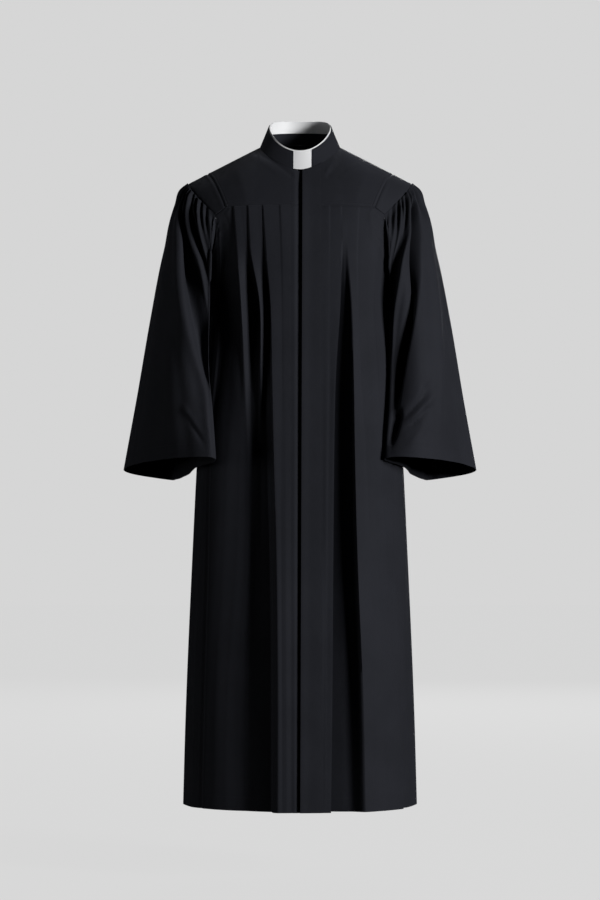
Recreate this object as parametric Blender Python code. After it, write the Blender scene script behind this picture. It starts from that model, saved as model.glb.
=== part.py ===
# Pulpit robe, worn: a yoked, pleated gown with bell sleeves and a notched stand collar.
# Metres, +Z up, the front faces -Y, the wearer's left is +X.
# The origin is the middle of the neck opening, level with the base of the neck.
import math

import bmesh
import bpy
import numpy as np

# Driving sizes
CLOTH = 0.0018          # wall of the cloth pieces
BAND = 0.0012           # wall of the white collar band
GAP = 0.0004            # between pieces at a seam
NECK_HALF = 0.085       # half width of the neckline
NECK_FRONT = -0.080     # y of the neckline at the front
NECK_Z = -0.05          # level whose section the neckline is cut in
NECK_BACK = 0.066       # y of the neckline at the back
SHOULDER_Y = 0.005      # y of the shoulder seams and the side seams
SHOULDER_FALL = 0.51    # drop of the shoulder seam for each metre outward
NECK_BEND = 0.05        # the shoulder line is rounded within this x
CHEST_Z = -0.24         # the front hangs plumb below this level
BACK_Z = -0.20          # the back hangs plumb below this level
YOKE_Z = -0.127         # yoke seams, front and back
YOKE_DIP = 0.004        # how much lower the yoke seam is at its ends
UNDERARM_Z = -0.300     # lowest point of the armhole
HEM_Z = -1.390          # hem
YOKE_TOP_HALF = 0.197   # half width between the yoke's side seams on the shoulder
YOKE_LOW_HALF = 0.157   # the same at the yoke seam
NECK_SEAM_X = 0.094     # yoke seam x under the corner of neck and shoulder
SHOULDER_TURN = 0.004   # turn in radians that parts front and back yoke at the shoulder seam
CAP_TOP_HALF = 0.237    # half width between the sleeve seams on the shoulder
CAP_TIP_X = 0.178       # lower tips of the shoulder pieces
CAP_TIP_Z = -0.146
ARM_RADIUS = 0.17       # mean radius of the body's section beside the armhole
OVERLAP = 0.022         # how far the right front passes under the left
EDGE_X = 0.005          # edge of the left front at the yoke seam
EDGE_HEM_X = 0.0005     # and at the hem
HEM_CORNER_X = 0.178    # x at the hem of the cloth from the yoke's corner
PLACKET = 0.040         # width of the placket
COLLAR_TOP_HALF = 0.0673
COLLAR_TOP_FRONT = -0.070
COLLAR_TOP_BACK = 0.058
NOTCH = (-0.0140, 0.0258)   # x of the notch's edges in the stand collar
BAND_SHOWS = 0.0035     # how far the white band stands above the collar

# Sections of the body: half width, depth in front, depth behind, squareness
LEVELS = {
    "z":      (0.00, -0.075, -0.127, -0.200, -0.300, -0.500, -0.760, -0.960, -1.170, -1.390),
    "half":   (0.262, 0.262, 0.245, 0.222, 0.2035, 0.2110, 0.2225, 0.2290, 0.2350, 0.2410),
    "front":  (0.140, 0.140, 0.140, 0.140, 0.141, 0.150, 0.168, 0.183, 0.199, 0.214),
    "back":   (0.118, 0.118, 0.119, 0.122, 0.125, 0.136, 0.162, 0.182, 0.203, 0.224),
    "square": (2.50, 2.50, 2.50, 2.50, 2.50, 2.45, 2.38, 2.32, 2.26, 2.20),
}

# Knife pleats under the yoke. x is the place of the fold's edge at four levels, and the fold faces
# the arm. Rise is half the step, run its width, spread how far it fades, at the seam and below.
PLEAT_LEVELS = (-0.127, -0.330, -0.830, -1.390)
PLEAT_COLUMNS = ("x0", "x1", "x2", "x3", "rise0", "rise1", "run1", "spread1")
PLEATS = {
    "front_right": (
        (0.0432, 0.0350, 0.0330, 0.0290, 0.0012, 0.0022, 0.010, 0.022),
        (0.0800, 0.0714, 0.0787, 0.0950, 0.0016, 0.0075, 0.022, 0.036),
        (0.1125, 0.1020, 0.1180, 0.1400, 0.0016, 0.0045, 0.018, 0.028),
        (0.1428, 0.1420, 0.1620, 0.1850, 0.0014, 0.0060, 0.030, 0.034),
    ),
    "front_left": (
        (0.0626, 0.0610, 0.0620, 0.0660, 0.0012, 0.0015, 0.008, 0.018),
        (0.0867, 0.0860, 0.0830, 0.0900, 0.0018, 0.0085, 0.012, 0.036),
        (0.1240, 0.1190, 0.1300, 0.1400, 0.0014, 0.0045, 0.018, 0.028),
        (0.1460, 0.1560, 0.1780, 0.1950, 0.0012, 0.0060, 0.026, 0.034),
    ),
    "back": (
        (0.0300, 0.0320, 0.0380, 0.0420, 0.0016, 0.0085, 0.024, 0.040),
        (0.0620, 0.0680, 0.0840, 0.0960, 0.0016, 0.0070, 0.022, 0.034),
        (0.0950, 0.1040, 0.1280, 0.1450, 0.0016, 0.0080, 0.024, 0.038),
        (0.1280, 0.1400, 0.1700, 0.1900, 0.0014, 0.0060, 0.026, 0.034),
    ),
}
PLEAT_RUN = 0.0026      # width of a pleat's step where it is sewn
PLEAT_SPREAD = 0.013    # how far it fades where it is sewn

# Soft flutes of the skirt: ring angle in degrees at the underarm and the hem, height, width
FLUTE_COLUMNS = ("top", "hem", "height", "width")
FLUTES = {
    "front_right": ((58, 56, 0.006, 0.026), (74, 70, -0.009, 0.030)),
    "front_left": ((60, 58, 0.008, 0.026), (75, 69, -0.010, 0.028)),
    "back": ((6, 4, -0.014, 0.040), (56, 53, 0.013, 0.030), (70, 68, -0.013, 0.030)),
}
SIDE_FLUTE = (0.007, 0.030)     # height and width of the flute along each side seam
SIDE_FADE = 12                  # degrees over which the other folds die away at the side seam
FLUTE_START = -0.62     # the flutes begin below the sleeves' hems

# Sleeve sections: the points that are outermost, frontmost, innermost and rearmost
SLEEVE_V = (0.00, 0.08, 0.25, 0.50, 0.76, 1.00)
SLEEVE = {
    "outer": ((0.237, 0.005, -0.077), (0.262, 0.008, -0.124), (0.290, 0.012, -0.222),
              (0.318, 0.018, -0.368), (0.344, 0.025, -0.534), (0.368, 0.030, -0.676)),
    "front": ((0.178, -0.090, -0.146), (0.190, -0.101, -0.185), (0.194, -0.104, -0.270),
              (0.193, -0.114, -0.395), (0.193, -0.138, -0.533), (0.187, -0.160, -0.655)),
    "inner": ((0.2035, 0.005, -0.300), (0.213, 0.006, -0.320), (0.222, 0.010, -0.385),
              (0.228, 0.018, -0.480), (0.234, 0.026, -0.590), (0.240, 0.034, -0.694)),
    "back": ((0.178, 0.0915, -0.146), (0.194, 0.108, -0.184), (0.215, 0.120, -0.275),
             (0.245, 0.126, -0.400), (0.276, 0.128, -0.545), (0.300, 0.128, -0.702)),
}
# How much further forward a sleeve hangs half way from its outermost to its frontmost point
SLEEVE_FORWARD = {
    "left": (0.0, 0.010, 0.026, 0.034, 0.026, 0.012),
    "right": (0.0, 0.008, 0.028, 0.036, 0.018, 0.0),
}
# The deep hollow that the right sleeve's front edge hangs before: its place round the sleeve in
# degrees and its depth
HOLLOW = {
    "v":     (0.04, 0.15, 0.28, 0.45, 0.61, 0.74, 0.90),
    "place": (43.0, 47.0, 52.0, 64.0, 80.0, 94.0, 102.0),
    "depth": (0.0, 0.016, 0.029, 0.031, 0.020, 0.006, 0.0),
}
HOLLOW_OUTER = 0.012    # how it fades towards the sleeve's outside
HOLLOW_INNER = 0.026    # and towards the body
SLEEVE_RADIUS = (0.085, 0.125)      # mean radius at the head and the cuff
BODY_CLEAR = 0.011      # room between a sleeve and the body's smooth form
CLEAR_ROUND = 0.008     # how softly a sleeve bends where the body holds it off
GATHERS_HALF = 6        # gathers on each half of a sleeve's head
GATHER_RISE = 0.0024

# Long folds of the sleeves: place round the sleeve in degrees at the head and the cuff
SLEEVE_FOLD_COLUMNS = ("head", "cuff", "height", "width")
SLEEVE_FOLDS = {
    "left": ((22, 38, 0.007, 0.014), (38, 82, -0.014, 0.014), (58, 96, 0.006, 0.013),
             (310, 300, 0.010, 0.024), (285, 268, -0.009, 0.022), (262, 240, 0.008, 0.020)),
    "right": ((14, 34, 0.004, 0.022), (34, 94, 0.006, 0.015),
              (312, 302, 0.010, 0.024), (287, 270, -0.009, 0.022), (264, 242, 0.008, 0.020)),
}

# Density of the meshes
CAP_COLUMNS = GATHERS_HALF * 4
ARM_COLUMNS = 10
FOOT_COLUMNS = 1        # between the corners of the shoulder pieces' lower edges
PANEL_ROWS = 11
YOKE_ROWS = 6
SLEEVE_ROWS = 9

STEP = 1e-4             # for slopes worked out by differences


def curve(places, values, at):
    """Smooth curve through the table's points, read at the given places."""
    places = np.asarray(places, float)
    values = np.asarray(values, float)
    if places[0] > places[-1]:
        places, values = places[::-1], values[::-1]
    slope = np.gradient(values, places, axis=0)
    at = np.clip(at, places[0], places[-1])
    i = np.clip(np.searchsorted(places, at, side="right") - 1, 0, len(places) - 2)
    span = places[i + 1] - places[i]
    t = (at - places[i]) / span
    if values.ndim > 1:
        t, span = t[..., None], span[..., None]
    t2, t3 = t * t, t * t * t
    return ((2 * t3 - 3 * t2 + 1) * values[i] + (t3 - 2 * t2 + t) * span * slope[i]
            + (3 * t2 - 2 * t3) * values[i + 1] + (t3 - t2) * span * slope[i + 1])


def ease(t):
    """Smooth step from 0 to 1."""
    t = np.clip(t, 0.0, 1.0)
    return t * t * (3 - 2 * t)


def mix(a, b, t):
    return a + (b - a) * t


def unit(vectors):
    return vectors / np.linalg.norm(vectors, axis=-1, keepdims=True)


def level(name, z):
    return curve(LEVELS["z"], LEVELS[name], z)


def ridge(x):
    """Height of the shoulder seam, rounded where the neck opening crosses the middle."""
    away = np.where(np.abs(x) < NECK_BEND, (x * x / NECK_BEND + NECK_BEND) / 2, np.abs(x))
    return -SHOULDER_FALL * (away - NECK_HALF - 0.003)


def plumb_level(back):
    return BACK_Z if back else CHEST_Z


def roundness(x, back):
    """How the section at x rounds over from the shoulder to the chest or back."""
    return mix(0.75 if back else 1.54, 0.95, ease(np.abs(x) / 0.13))


def swell(x, z, back):
    """Share of the full depth that the form has reached at height z."""
    t = np.clip((ridge(x) - z) / (ridge(x) - plumb_level(back)), 0.0, 1.0)
    return np.sqrt(np.clip(1 - (1 - t) ** 2, 0.0, 1.0)) ** roundness(x, back)


def torso(angle, z, back):
    """Point of the smooth form: angle 0 is the middle, 90 degrees the side."""
    power = 2 / level("square", z)
    sign = 1.0 if back else -1.0
    x = np.sign(angle) * level("half", z) * np.abs(np.sin(angle)) ** power
    depth = level("back" if back else "front", z) * np.clip(np.cos(angle), 0, 1) ** power
    y = SHOULDER_Y + sign * depth * swell(x, z, back)
    return np.stack([x, y, z + 0.0 * x], -1)


def torso_normal(angle, z, back):
    across = torso(angle + STEP, z, back) - torso(angle - STEP, z, back)
    up = torso(angle, z + STEP, back) - torso(angle, z - STEP, back)
    return unit(np.cross(across, up)) * (-1.0 if back else 1.0)


def angle_of(x, z):
    """Ring angle at which the form has this x."""
    share = np.clip(np.abs(x) / level("half", z), 0, 1)
    return np.sign(x) * np.arcsin(share ** (level("square", z) / 2))


def shoulder(x, turn, back):
    """Point of the same form over the shoulder: turn 0 is the shoulder seam."""
    z = ridge(x) - (ridge(x) - plumb_level(back)) * (1 - np.cos(turn))
    depth = level("back" if back else "front", z)
    width = np.clip(1 - (np.abs(x) / level("half", z)) ** level("square", z), 0, 1)
    depth = depth * width ** (1 / level("square", z)) * np.sin(turn) ** roundness(x, back)
    return np.stack([x + 0.0 * turn, SHOULDER_Y + (1.0 if back else -1.0) * depth, z], -1)


def shoulder_normal(x, turn, back):
    turn = np.maximum(turn, 0.0)
    across = shoulder(x + STEP, turn, back) - shoulder(x - STEP, turn, back)
    down = shoulder(x, turn + 0.01, back) - shoulder(x, np.maximum(turn - 0.01, 0), back)
    return unit(np.cross(across, down)) * (1.0 if back else -1.0)


def turn_at(x, z, back):
    """Turn at which the form has reached height z."""
    return np.arccos(np.clip(1 - (ridge(x) - z) / (ridge(x) - plumb_level(back)), -1, 1))


def yoke_seam(x):
    return YOKE_Z - YOKE_DIP * (np.abs(x) / YOKE_LOW_HALF) ** 4


def neckline(turn):
    """Neckline on the form: turn 0 is the front, pi the back."""
    x = NECK_HALF * np.sin(turn)
    middle = (NECK_FRONT + NECK_BACK) / 2
    y = middle - (NECK_BACK - NECK_FRONT) / 2 * np.cos(turn)
    points = []
    for px, py in zip(x, y):
        back = py > SHOULDER_Y
        square = level("square", NECK_Z)
        reach = level("back" if back else "front", NECK_Z)
        reach *= (1 - (abs(px) / level("half", NECK_Z)) ** square) ** (1 / square)
        lean = (abs(py - SHOULDER_Y) / reach) ** (1 / roundness(px, back))
        z = ridge(px) - (ridge(px) - plumb_level(back)) * (1 - math.sqrt(1 - lean * lean))
        points.append((px, py, z))
    return np.array(points)


def collar_top(turn):
    x = COLLAR_TOP_HALF * np.sin(turn)
    middle = (COLLAR_TOP_FRONT + COLLAR_TOP_BACK) / 2
    y = middle - (COLLAR_TOP_BACK - COLLAR_TOP_FRONT) / 2 * np.cos(turn)
    z = 0.0315 - 0.035 * np.cos(turn) - 0.0095 * np.cos(2 * turn)
    return np.stack([x, y, z], -1)


def pleat_relief(kind, angle, z):
    """Height of the knife pleats, which open into soft folds below."""
    scale = (level("half", z) + level("front", z)) * 0.52
    loose = ease((YOKE_Z - 0.05 - z) / 0.22)
    relief = np.zeros_like(angle)
    for row in PLEATS[kind]:
        pleat = dict(zip(PLEAT_COLUMNS, row))
        x = np.interp(-z, [-p for p in PLEAT_LEVELS],
                      [pleat["x0"], pleat["x1"], pleat["x2"], pleat["x3"]])
        s = (angle - angle_of(x, z)) * scale
        run = mix(PLEAT_RUN, pleat["run1"], loose)
        spread = mix(PLEAT_SPREAD, pleat["spread1"], loose)
        rise = mix(pleat["rise0"], pleat["rise1"], loose)
        relief += -rise * np.tanh(2 * s / run) * np.exp(-(s / spread) ** 2)
    return relief


def flute_relief(kind, angle, z):
    """Height of the soft flutes that grow towards the hem."""
    scale = (level("half", z) + level("front", z)) * 0.52
    grow = ease((FLUTE_START - z) / 0.65)
    down = (UNDERARM_Z - z) / (UNDERARM_Z - HEM_Z)
    relief = np.zeros_like(angle)
    for row in FLUTES[kind]:
        flute = dict(zip(FLUTE_COLUMNS, row))
        s = (angle - np.radians(mix(flute["top"], flute["hem"], down))) * scale
        relief += grow * flute["height"] * np.exp(-(s / flute["width"]) ** 2)
    return relief


def side_relief(relief, angle, z):
    """Bring the front's and the back's folds to one height along the side seam."""
    height, width = SIDE_FLUTE
    from_side = math.pi / 2 - angle
    s = from_side * (level("half", z) + level("front", z)) * 0.52
    flute = height * ease((FLUTE_START - z) / 0.65) * np.exp(-(s / width) ** 2)
    return relief * ease(np.degrees(from_side) / SIDE_FADE) + flute


def armhole(share, back):
    """Angle and height of the armhole from the shoulder piece's tip to the underarm."""
    quarter = share * math.pi / 2
    down = np.sin(quarter) ** (4 / 3)
    out = 1 - np.cos(quarter) ** (4 / 3)
    z = mix(CAP_TIP_Z, UNDERARM_Z, down)
    start = angle_of(CAP_TIP_X, CAP_TIP_Z)
    return mix(start, math.pi / 2, out), z


def cap_edge(share, back, outer):
    """x and turn of the shoulder piece's edges, from the shoulder seam to the tip."""
    if outer:
        x = mix(CAP_TOP_HALF, CAP_TIP_X, share ** 2.5)
        tip = turn_at(CAP_TIP_X, CAP_TIP_Z, back)
    else:
        x = mix(YOKE_TOP_HALF, YOKE_LOW_HALF, share ** 1.5)
        tip = turn_at(YOKE_LOW_HALF, yoke_seam(YOKE_LOW_HALF), back)
    return x, tip * share


def cap_foot(share, back):
    """x and height of the shoulder piece's lower edge, from the yoke's corner to the tip."""
    inner_x, inner_turn = cap_edge(1.0, back, False)
    outer_x, outer_turn = cap_edge(1.0, back, True)
    x = mix(inner_x, outer_x, share)
    return x, shoulder(x, mix(inner_turn, outer_turn, share), back)[:, 2]


def material(name, colour, roughness):
    made = bpy.data.materials.new(name)
    made.use_nodes = True
    shader = made.node_tree.nodes["Principled BSDF"]
    shader.inputs["Base Color"].default_value = (*colour, 1.0)
    shader.inputs["Roughness"].default_value = roughness
    shader.inputs["Metallic"].default_value = 0.0
    return made


def add_wall(name, outer, inner, closed=False, colour=(0.011, 0.011, 0.014), roughness=0.85):
    """One closed cloth piece between two grids of points with the same rows and columns."""
    rows, columns = outer.shape[:2]
    count = rows * columns
    points = [tuple(p) for p in outer.reshape(-1, 3)] + [tuple(p) for p in inner.reshape(-1, 3)]
    last = columns if closed else columns - 1
    faces = []
    for r in range(rows - 1):
        for c in range(last):
            a, b = r * columns + c, r * columns + (c + 1) % columns
            d, e = a + columns, b + columns
            faces += [(a, d, e), (a, e, b)]
            faces += [(a + count, e + count, d + count), (a + count, b + count, e + count)]
    border = [(c, (c + 1) % columns) for c in range(last)]
    border += [((rows - 1) * columns + (c + 1) % columns, (rows - 1) * columns + c)
               for c in range(last)]
    if not closed:
        border += [((r + 1) * columns, r * columns) for r in range(rows - 1)]
        border += [(r * columns + columns - 1, (r + 1) * columns + columns - 1)
                   for r in range(rows - 1)]
    for a, b in border:
        faces += [(a, b, b + count), (a, b + count, a + count)]
    mesh = bpy.data.meshes.new(name)
    mesh.from_pydata(points, [], faces)
    shape = bmesh.new()
    shape.from_mesh(mesh)
    bmesh.ops.recalc_face_normals(shape, faces=shape.faces)
    shape.to_mesh(mesh)
    shape.free()
    mesh.materials.append(material(name, colour, roughness))
    mesh.shade_smooth()
    mesh.set_sharp_from_angle(angle=math.radians(50))
    made = bpy.data.objects.new(name, mesh)
    bpy.context.collection.objects.link(made)
    return made


def flip(points, side):
    """Mirror a grid to the wearer's right when side is -1."""
    turned = points.copy()
    turned[..., 0] *= side
    return turned


def between(stops, counts):
    """Values between the stops, with a given number of steps in each stretch."""
    values = [stops[0]]
    for a, b, n in zip(stops, stops[1:], counts):
        values += [a + (b - a) * (i + 1) / n for i in range(n)]
    return np.array(values)


def pleat_stops(kind, first):
    """Places along the yoke seam: both sides of each pleat's step, and steps between."""
    stops, counts = list(first[0]), list(first[1])
    for row in PLEATS[kind]:
        edge = row[0]
        if edge - PLEAT_RUN / 2 > stops[-1] + 0.004:
            counts.append(max(1, round((edge - stops[-1]) / 0.014)))
            stops.append(edge - PLEAT_RUN / 2)
            counts.append(1)
            stops.append(edge + PLEAT_RUN / 2)
    counts.append(1)
    stops.append(YOKE_LOW_HALF - GAP)
    return between(stops, counts)


def lap(x):
    """Depth of the right front where it passes under the left, at signed place x."""
    return -(CLOTH + GAP) * ease((0.013 - x) / 0.013)


SEAM_COLUMNS = {
    "front_left": pleat_stops("front_left", ([EDGE_X, EDGE_X + PLACKET], [3])),
    "front_right": pleat_stops("front_right", ([-OVERLAP, 0.0, 0.013], [2, 3])),
    "back": pleat_stops("back", ([0.0, 0.009, 0.018], [1, 1])),
}


def panel_grid(kind):
    """Ring angles, heights and surface of a body panel, from its top edge to the hem."""
    back = kind == "back"
    seam_x = SEAM_COLUMNS[kind]
    arm_angle, arm_z = armhole(np.linspace(0, 1, ARM_COLUMNS + 1), back)
    shift = GAP / ARM_RADIUS * np.cos(np.linspace(0, math.pi / 2, ARM_COLUMNS + 1))
    foot_x, foot_z = cap_foot(np.linspace(0, 1, FOOT_COLUMNS + 2)[1:-1], back)
    top_z = np.concatenate([yoke_seam(seam_x) - GAP / 2, foot_z - GAP, arm_z - GAP])
    top_angle = np.concatenate([angle_of(seam_x, yoke_seam(seam_x) - GAP / 2),
                                angle_of(foot_x, foot_z - GAP), arm_angle - shift])
    low_x = [seam_x[0], seam_x[-1]]
    hem_x = [{"front_left": EDGE_HEM_X, "front_right": -OVERLAP, "back": 0.0}[kind], HEM_CORNER_X]
    seam_hem = angle_of(np.interp(seam_x, low_x, hem_x), HEM_Z)
    arm_hem = np.linspace(seam_hem[-1], math.pi / 2, FOOT_COLUMNS + ARM_COLUMNS + 2)[1:]
    hem_angle = np.concatenate([seam_hem, arm_hem])
    down = (np.linspace(0, 1, PANEL_ROWS + 1) ** 1.35)[:, None]
    angle = mix(top_angle, hem_angle, down)
    angle[:, -1] -= GAP / 2 / level("half", HEM_Z)
    if kind == "back":
        angle[:, 0] = 0.0
    return angle, mix(top_z, HEM_Z, down)


def panel_surface(kind, angle, z, lift=0.0):
    """Outer and inner points of a body panel."""
    back = kind == "back"
    base = torso(angle, z, back)
    normal = torso_normal(angle, z, back)
    relief = pleat_relief(kind, angle, z) + flute_relief(kind, angle, z)
    relief = side_relief(relief, angle, z)
    if kind == "front_right":
        relief = relief * ease(base[..., 0] / 0.016) + lap(base[..., 0])
    if kind == "front_left":
        relief *= ease((base[..., 0] - EDGE_X - PLACKET) / 0.010)
    outer = base + normal * (relief + lift)[..., None]
    return outer, outer - normal * CLOTH


def front_panels():
    for kind, side in (("front_left", 1), ("front_right", -1)):
        angle, z = panel_grid(kind)
        outer, inner = panel_surface(kind, angle, z)
        add_wall(kind, flip(outer, side), flip(inner, side))


def back_panel():
    angle, z = panel_grid("back")
    outer, inner = panel_surface("back", angle, z)
    whole = [np.concatenate([flip(g, -1)[:, :0:-1], g], axis=1) for g in (outer, inner)]
    add_wall("back", *whole)


def yoke_grid(kind, back):
    """x and turn of a yoke half, from the middle to the side seam, top row first."""
    low_x = SEAM_COLUMNS[kind]
    low_turn = turn_at(low_x, yoke_seam(low_x) + GAP / 2, back)
    columns = []
    for x in low_x:
        if x < NECK_SEAM_X:
            reach = x
            if x > NECK_BEND:
                spread = (x - NECK_BEND) / (NECK_SEAM_X - NECK_BEND)
                reach = mix(NECK_BEND, NECK_HALF - 0.0005, spread)
            ring = math.asin(reach / NECK_HALF)
            ring = math.pi - ring if back else ring
            point = neckline(np.array([ring]))[0]
            turn = float(turn_at(point[0], point[2] - GAP / 2, back))
            columns.append((point[0], turn))
        else:
            share = (x - NECK_SEAM_X) / (YOKE_LOW_HALF - GAP - NECK_SEAM_X)
            columns.append((mix(NECK_HALF, YOKE_TOP_HALF - GAP, share), SHOULDER_TURN))
    top = np.array(columns)
    down = np.linspace(0, 1, YOKE_ROWS + 1)[:, None]
    return mix(top[:, 0], low_x, down ** 1.5), mix(top[:, 1], low_turn, down)


def yoke_surface(x, turn, back, relief=0.0):
    base = shoulder(x, turn, back)
    normal = shoulder_normal(x, turn, back)
    outer = base + normal * np.asarray(relief)[..., None]
    return outer, outer - normal * CLOTH


def yokes():
    for kind, name, side in (("front_left", "front_yoke_left", 1),
                             ("front_right", "front_yoke_right", -1)):
        x, turn = yoke_grid(kind, False)
        relief = lap(x) if side < 0 else np.zeros_like(x)
        outer, inner = yoke_surface(x, turn, False, relief)
        add_wall(name, flip(outer, side), flip(inner, side))
    x, turn = yoke_grid("back", True)
    outer, inner = yoke_surface(x, turn, True, np.zeros_like(x))
    whole = [np.concatenate([flip(g, -1)[:, :0:-1], g], axis=1) for g in (outer, inner)]
    add_wall("back_yoke", *whole)


def cap_half(back):
    share = np.linspace(0, 1, CAP_COLUMNS + 1)
    inner_x, inner_turn = cap_edge(share, back, False)
    outer_x, outer_turn = cap_edge(share, back, True)
    across = np.linspace(0, 1, 3)[:, None]
    x = mix(inner_x, outer_x - GAP, across)
    turn = mix(inner_turn, outer_turn, across)
    return yoke_surface(x, turn, back, np.zeros_like(x))


def shoulder_caps():
    front, back = cap_half(False), cap_half(True)
    for name, side in (("shoulder_cap_left", 1), ("shoulder_cap_right", -1)):
        grids = [np.concatenate([f[:, ::-1], b[:, 1:]], axis=1) for f, b in zip(front, back)]
        add_wall(name, flip(grids[0], side), flip(grids[1], side))


def placket():
    """Strip on the left front's edge, made from the points under it, moved out."""
    lift = 0.0003 + CLOTH
    columns = 4
    x, turn = yoke_grid("front_left", False)
    upper = yoke_surface(x[:, :columns], turn[:, :columns], False, lift + 0 * x[:, :columns])
    angle, z = panel_grid("front_left")
    lower = panel_surface("front_left", angle[:, :columns], z[:, :columns], lift)
    grids = [np.concatenate([u, low[1:]], axis=0) for u, low in zip(upper, lower)]
    add_wall("front_placket", *grids)


def arm_loop():
    """Points, directions and places of the sleeve seam, round the whole armhole."""
    share = np.linspace(0, 1, CAP_COLUMNS + 1)
    low = np.linspace(0, 1, ARM_COLUMNS + 1)[1:]
    halves = []
    for back in (False, True):
        x, turn = cap_edge(share, back, True)
        angle, z = armhole(low, back)
        points = np.concatenate([shoulder(x, turn, back), torso(angle, z, back)])
        normals = np.concatenate([shoulder_normal(x, turn, back), torso_normal(angle, z, back)])
        place = np.concatenate([share * 90, 90 + low * 90])
        halves.append((points, normals, place))
    front, behind = halves
    points = np.concatenate([front[0], behind[0][-2:0:-1]])
    normals = np.concatenate([front[1], behind[1][-2:0:-1]])
    place = np.concatenate([front[2], 360 - behind[2][-2:0:-1]])
    return points, normals, place


def loop_through(outer, front, inner, back, place):
    """Smooth ring through four points, at places in radians from the outer one."""
    c1, s1 = (outer - inner) / 2, (front - back) / 2
    even, odd = (outer + inner) / 2, (front + back) / 2
    c0, c2 = (even + odd) / 2, (even - odd) / 2
    turn = place[..., None]
    return c0 + c1 * np.cos(turn) + s1 * np.sin(turn) + c2 * np.cos(2 * turn)


def cuff_place(place):
    """Where the cloth from each place of the head arrives at the cuff."""
    half = np.minimum(place, 360 - place)
    moved = np.interp(half, [0, 90, 180], [0, 100, 180])
    return np.where(place <= 180, moved, 360 - moved)


def body_half_at(x, y, z):
    """Half width of the body's smooth form at y, nought in front of it and behind it."""
    square = level("square", z)
    depth = np.where(y < SHOULDER_Y, level("front", z) * swell(x, z, False),
                     level("back", z) * swell(x, z, True))
    depth = np.maximum(depth, STEP)
    share = np.clip(1 - (np.abs(y - SHOULDER_Y) / depth) ** square, 0, 1)
    return level("half", z) * share ** (1 / square)


def hollow_depth(angle, v):
    """How far the right sleeve's cloth falls back beside its front edge."""
    place = curve(HOLLOW["v"], HOLLOW["place"], v)
    away = (angle - np.radians(place)) * mix(*SLEEVE_RADIUS, v)
    width = np.where(away < 0, HOLLOW_OUTER, HOLLOW_INNER)
    return curve(HOLLOW["v"], HOLLOW["depth"], v) * np.exp(-(away / width) ** 2)


def sleeve_surface(which):
    points, normals, place = arm_loop()
    v = np.linspace(0, 1, SLEEVE_ROWS + 1)[:, None] ** 1.25
    angle = np.radians(mix(place, cuff_place(place), ease(v)))
    smooth = loop_through(*[curve(SLEEVE_V, rows, v) for rows in SLEEVE.values()], angle)
    quarter = np.sin(2 * np.clip(angle, 0, math.pi / 2)) ** 2
    smooth[..., 1] -= curve(SLEEVE_V, SLEEVE_FORWARD[which], v) * quarter
    if which == "right":
        smooth[..., 1] += hollow_depth(angle, v)
    fade = (1 - ease(v / 0.30))[..., None]
    smooth = smooth + (points - smooth[0]) * fade
    room = smooth[..., 0] - body_half_at(smooth[..., 0], smooth[..., 1], smooth[..., 2])
    room -= mix(BODY_CLEAR / 3, BODY_CLEAR, ease(v / 0.25))
    clear = CLEAR_ROUND * np.logaddexp(0, room / CLEAR_ROUND)
    smooth[1:, :, 0] += (clear - room)[1:]
    half = np.minimum(place, 360 - place)
    own = ease((half - 60) / 30)[:, None]
    smooth[0] += normals * GAP * own
    around = np.roll(smooth, -1, axis=1) - np.roll(smooth, 1, axis=1)
    along = np.gradient(smooth, axis=0)
    normal = unit(np.cross(around, along))
    normal[0] = unit(mix(normals, normal[1], own))
    wave = np.cos(2 * math.pi * half / 90 * GATHERS_HALF)
    swelling = ease(v / 0.04) * 0.6 + 0.4
    relief = GATHER_RISE * wave * (half <= 90) * swelling * (1 - ease(v / 0.45))
    for row in SLEEVE_FOLDS[which]:
        fold = dict(zip(SLEEVE_FOLD_COLUMNS, row))
        away = np.degrees(angle) - mix(fold["head"], fold["cuff"], v)
        s = np.radians(away) * mix(*SLEEVE_RADIUS, v)
        grow = ease((v - 0.02) / 0.45) * mix(0.6, 1.0, v)
        relief = relief + fold["height"] * grow * np.exp(-(s / fold["width"]) ** 2)
    outer = smooth + normal * relief[..., None]
    return outer, outer - normal * CLOTH


def sleeves():
    for which, side in (("left", 1), ("right", -1)):
        outer, inner = sleeve_surface(which)
        add_wall("sleeve_" + which, flip(outer, side), flip(inner, side), closed=True)


def collar_grid(start, end, low, high, columns, rows):
    """Points of the collar's slant face; low and high are shares of its height."""
    base_turn = between([math.asin(start / NECK_HALF), 2 * math.pi + math.asin(end / NECK_HALF)],
                        [columns])
    top_turn = between([math.asin(start / COLLAR_TOP_HALF),
                        2 * math.pi + math.asin(end / COLLAR_TOP_HALF)], [columns])
    base, top = neckline(base_turn), collar_top(top_turn)
    share = np.linspace(low, high, rows + 1)[:, None, None]
    return mix(base, top, share)


def face_normals(grid):
    across = np.gradient(grid, axis=1)
    up = np.gradient(grid, axis=0)
    normal = unit(np.cross(across, up))
    middle = np.array([0.0, -0.006, 0.0])
    outward = np.sign(np.sum(normal * ((grid - middle) * (1, 1, 0)), axis=-1, keepdims=True))
    return normal * outward


def collar():
    grid = collar_grid(NOTCH[1], NOTCH[0], 0.012, 1.0, 44, 3)
    normal = face_normals(grid)
    add_wall("collar", grid, grid - normal * CLOTH)


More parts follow.
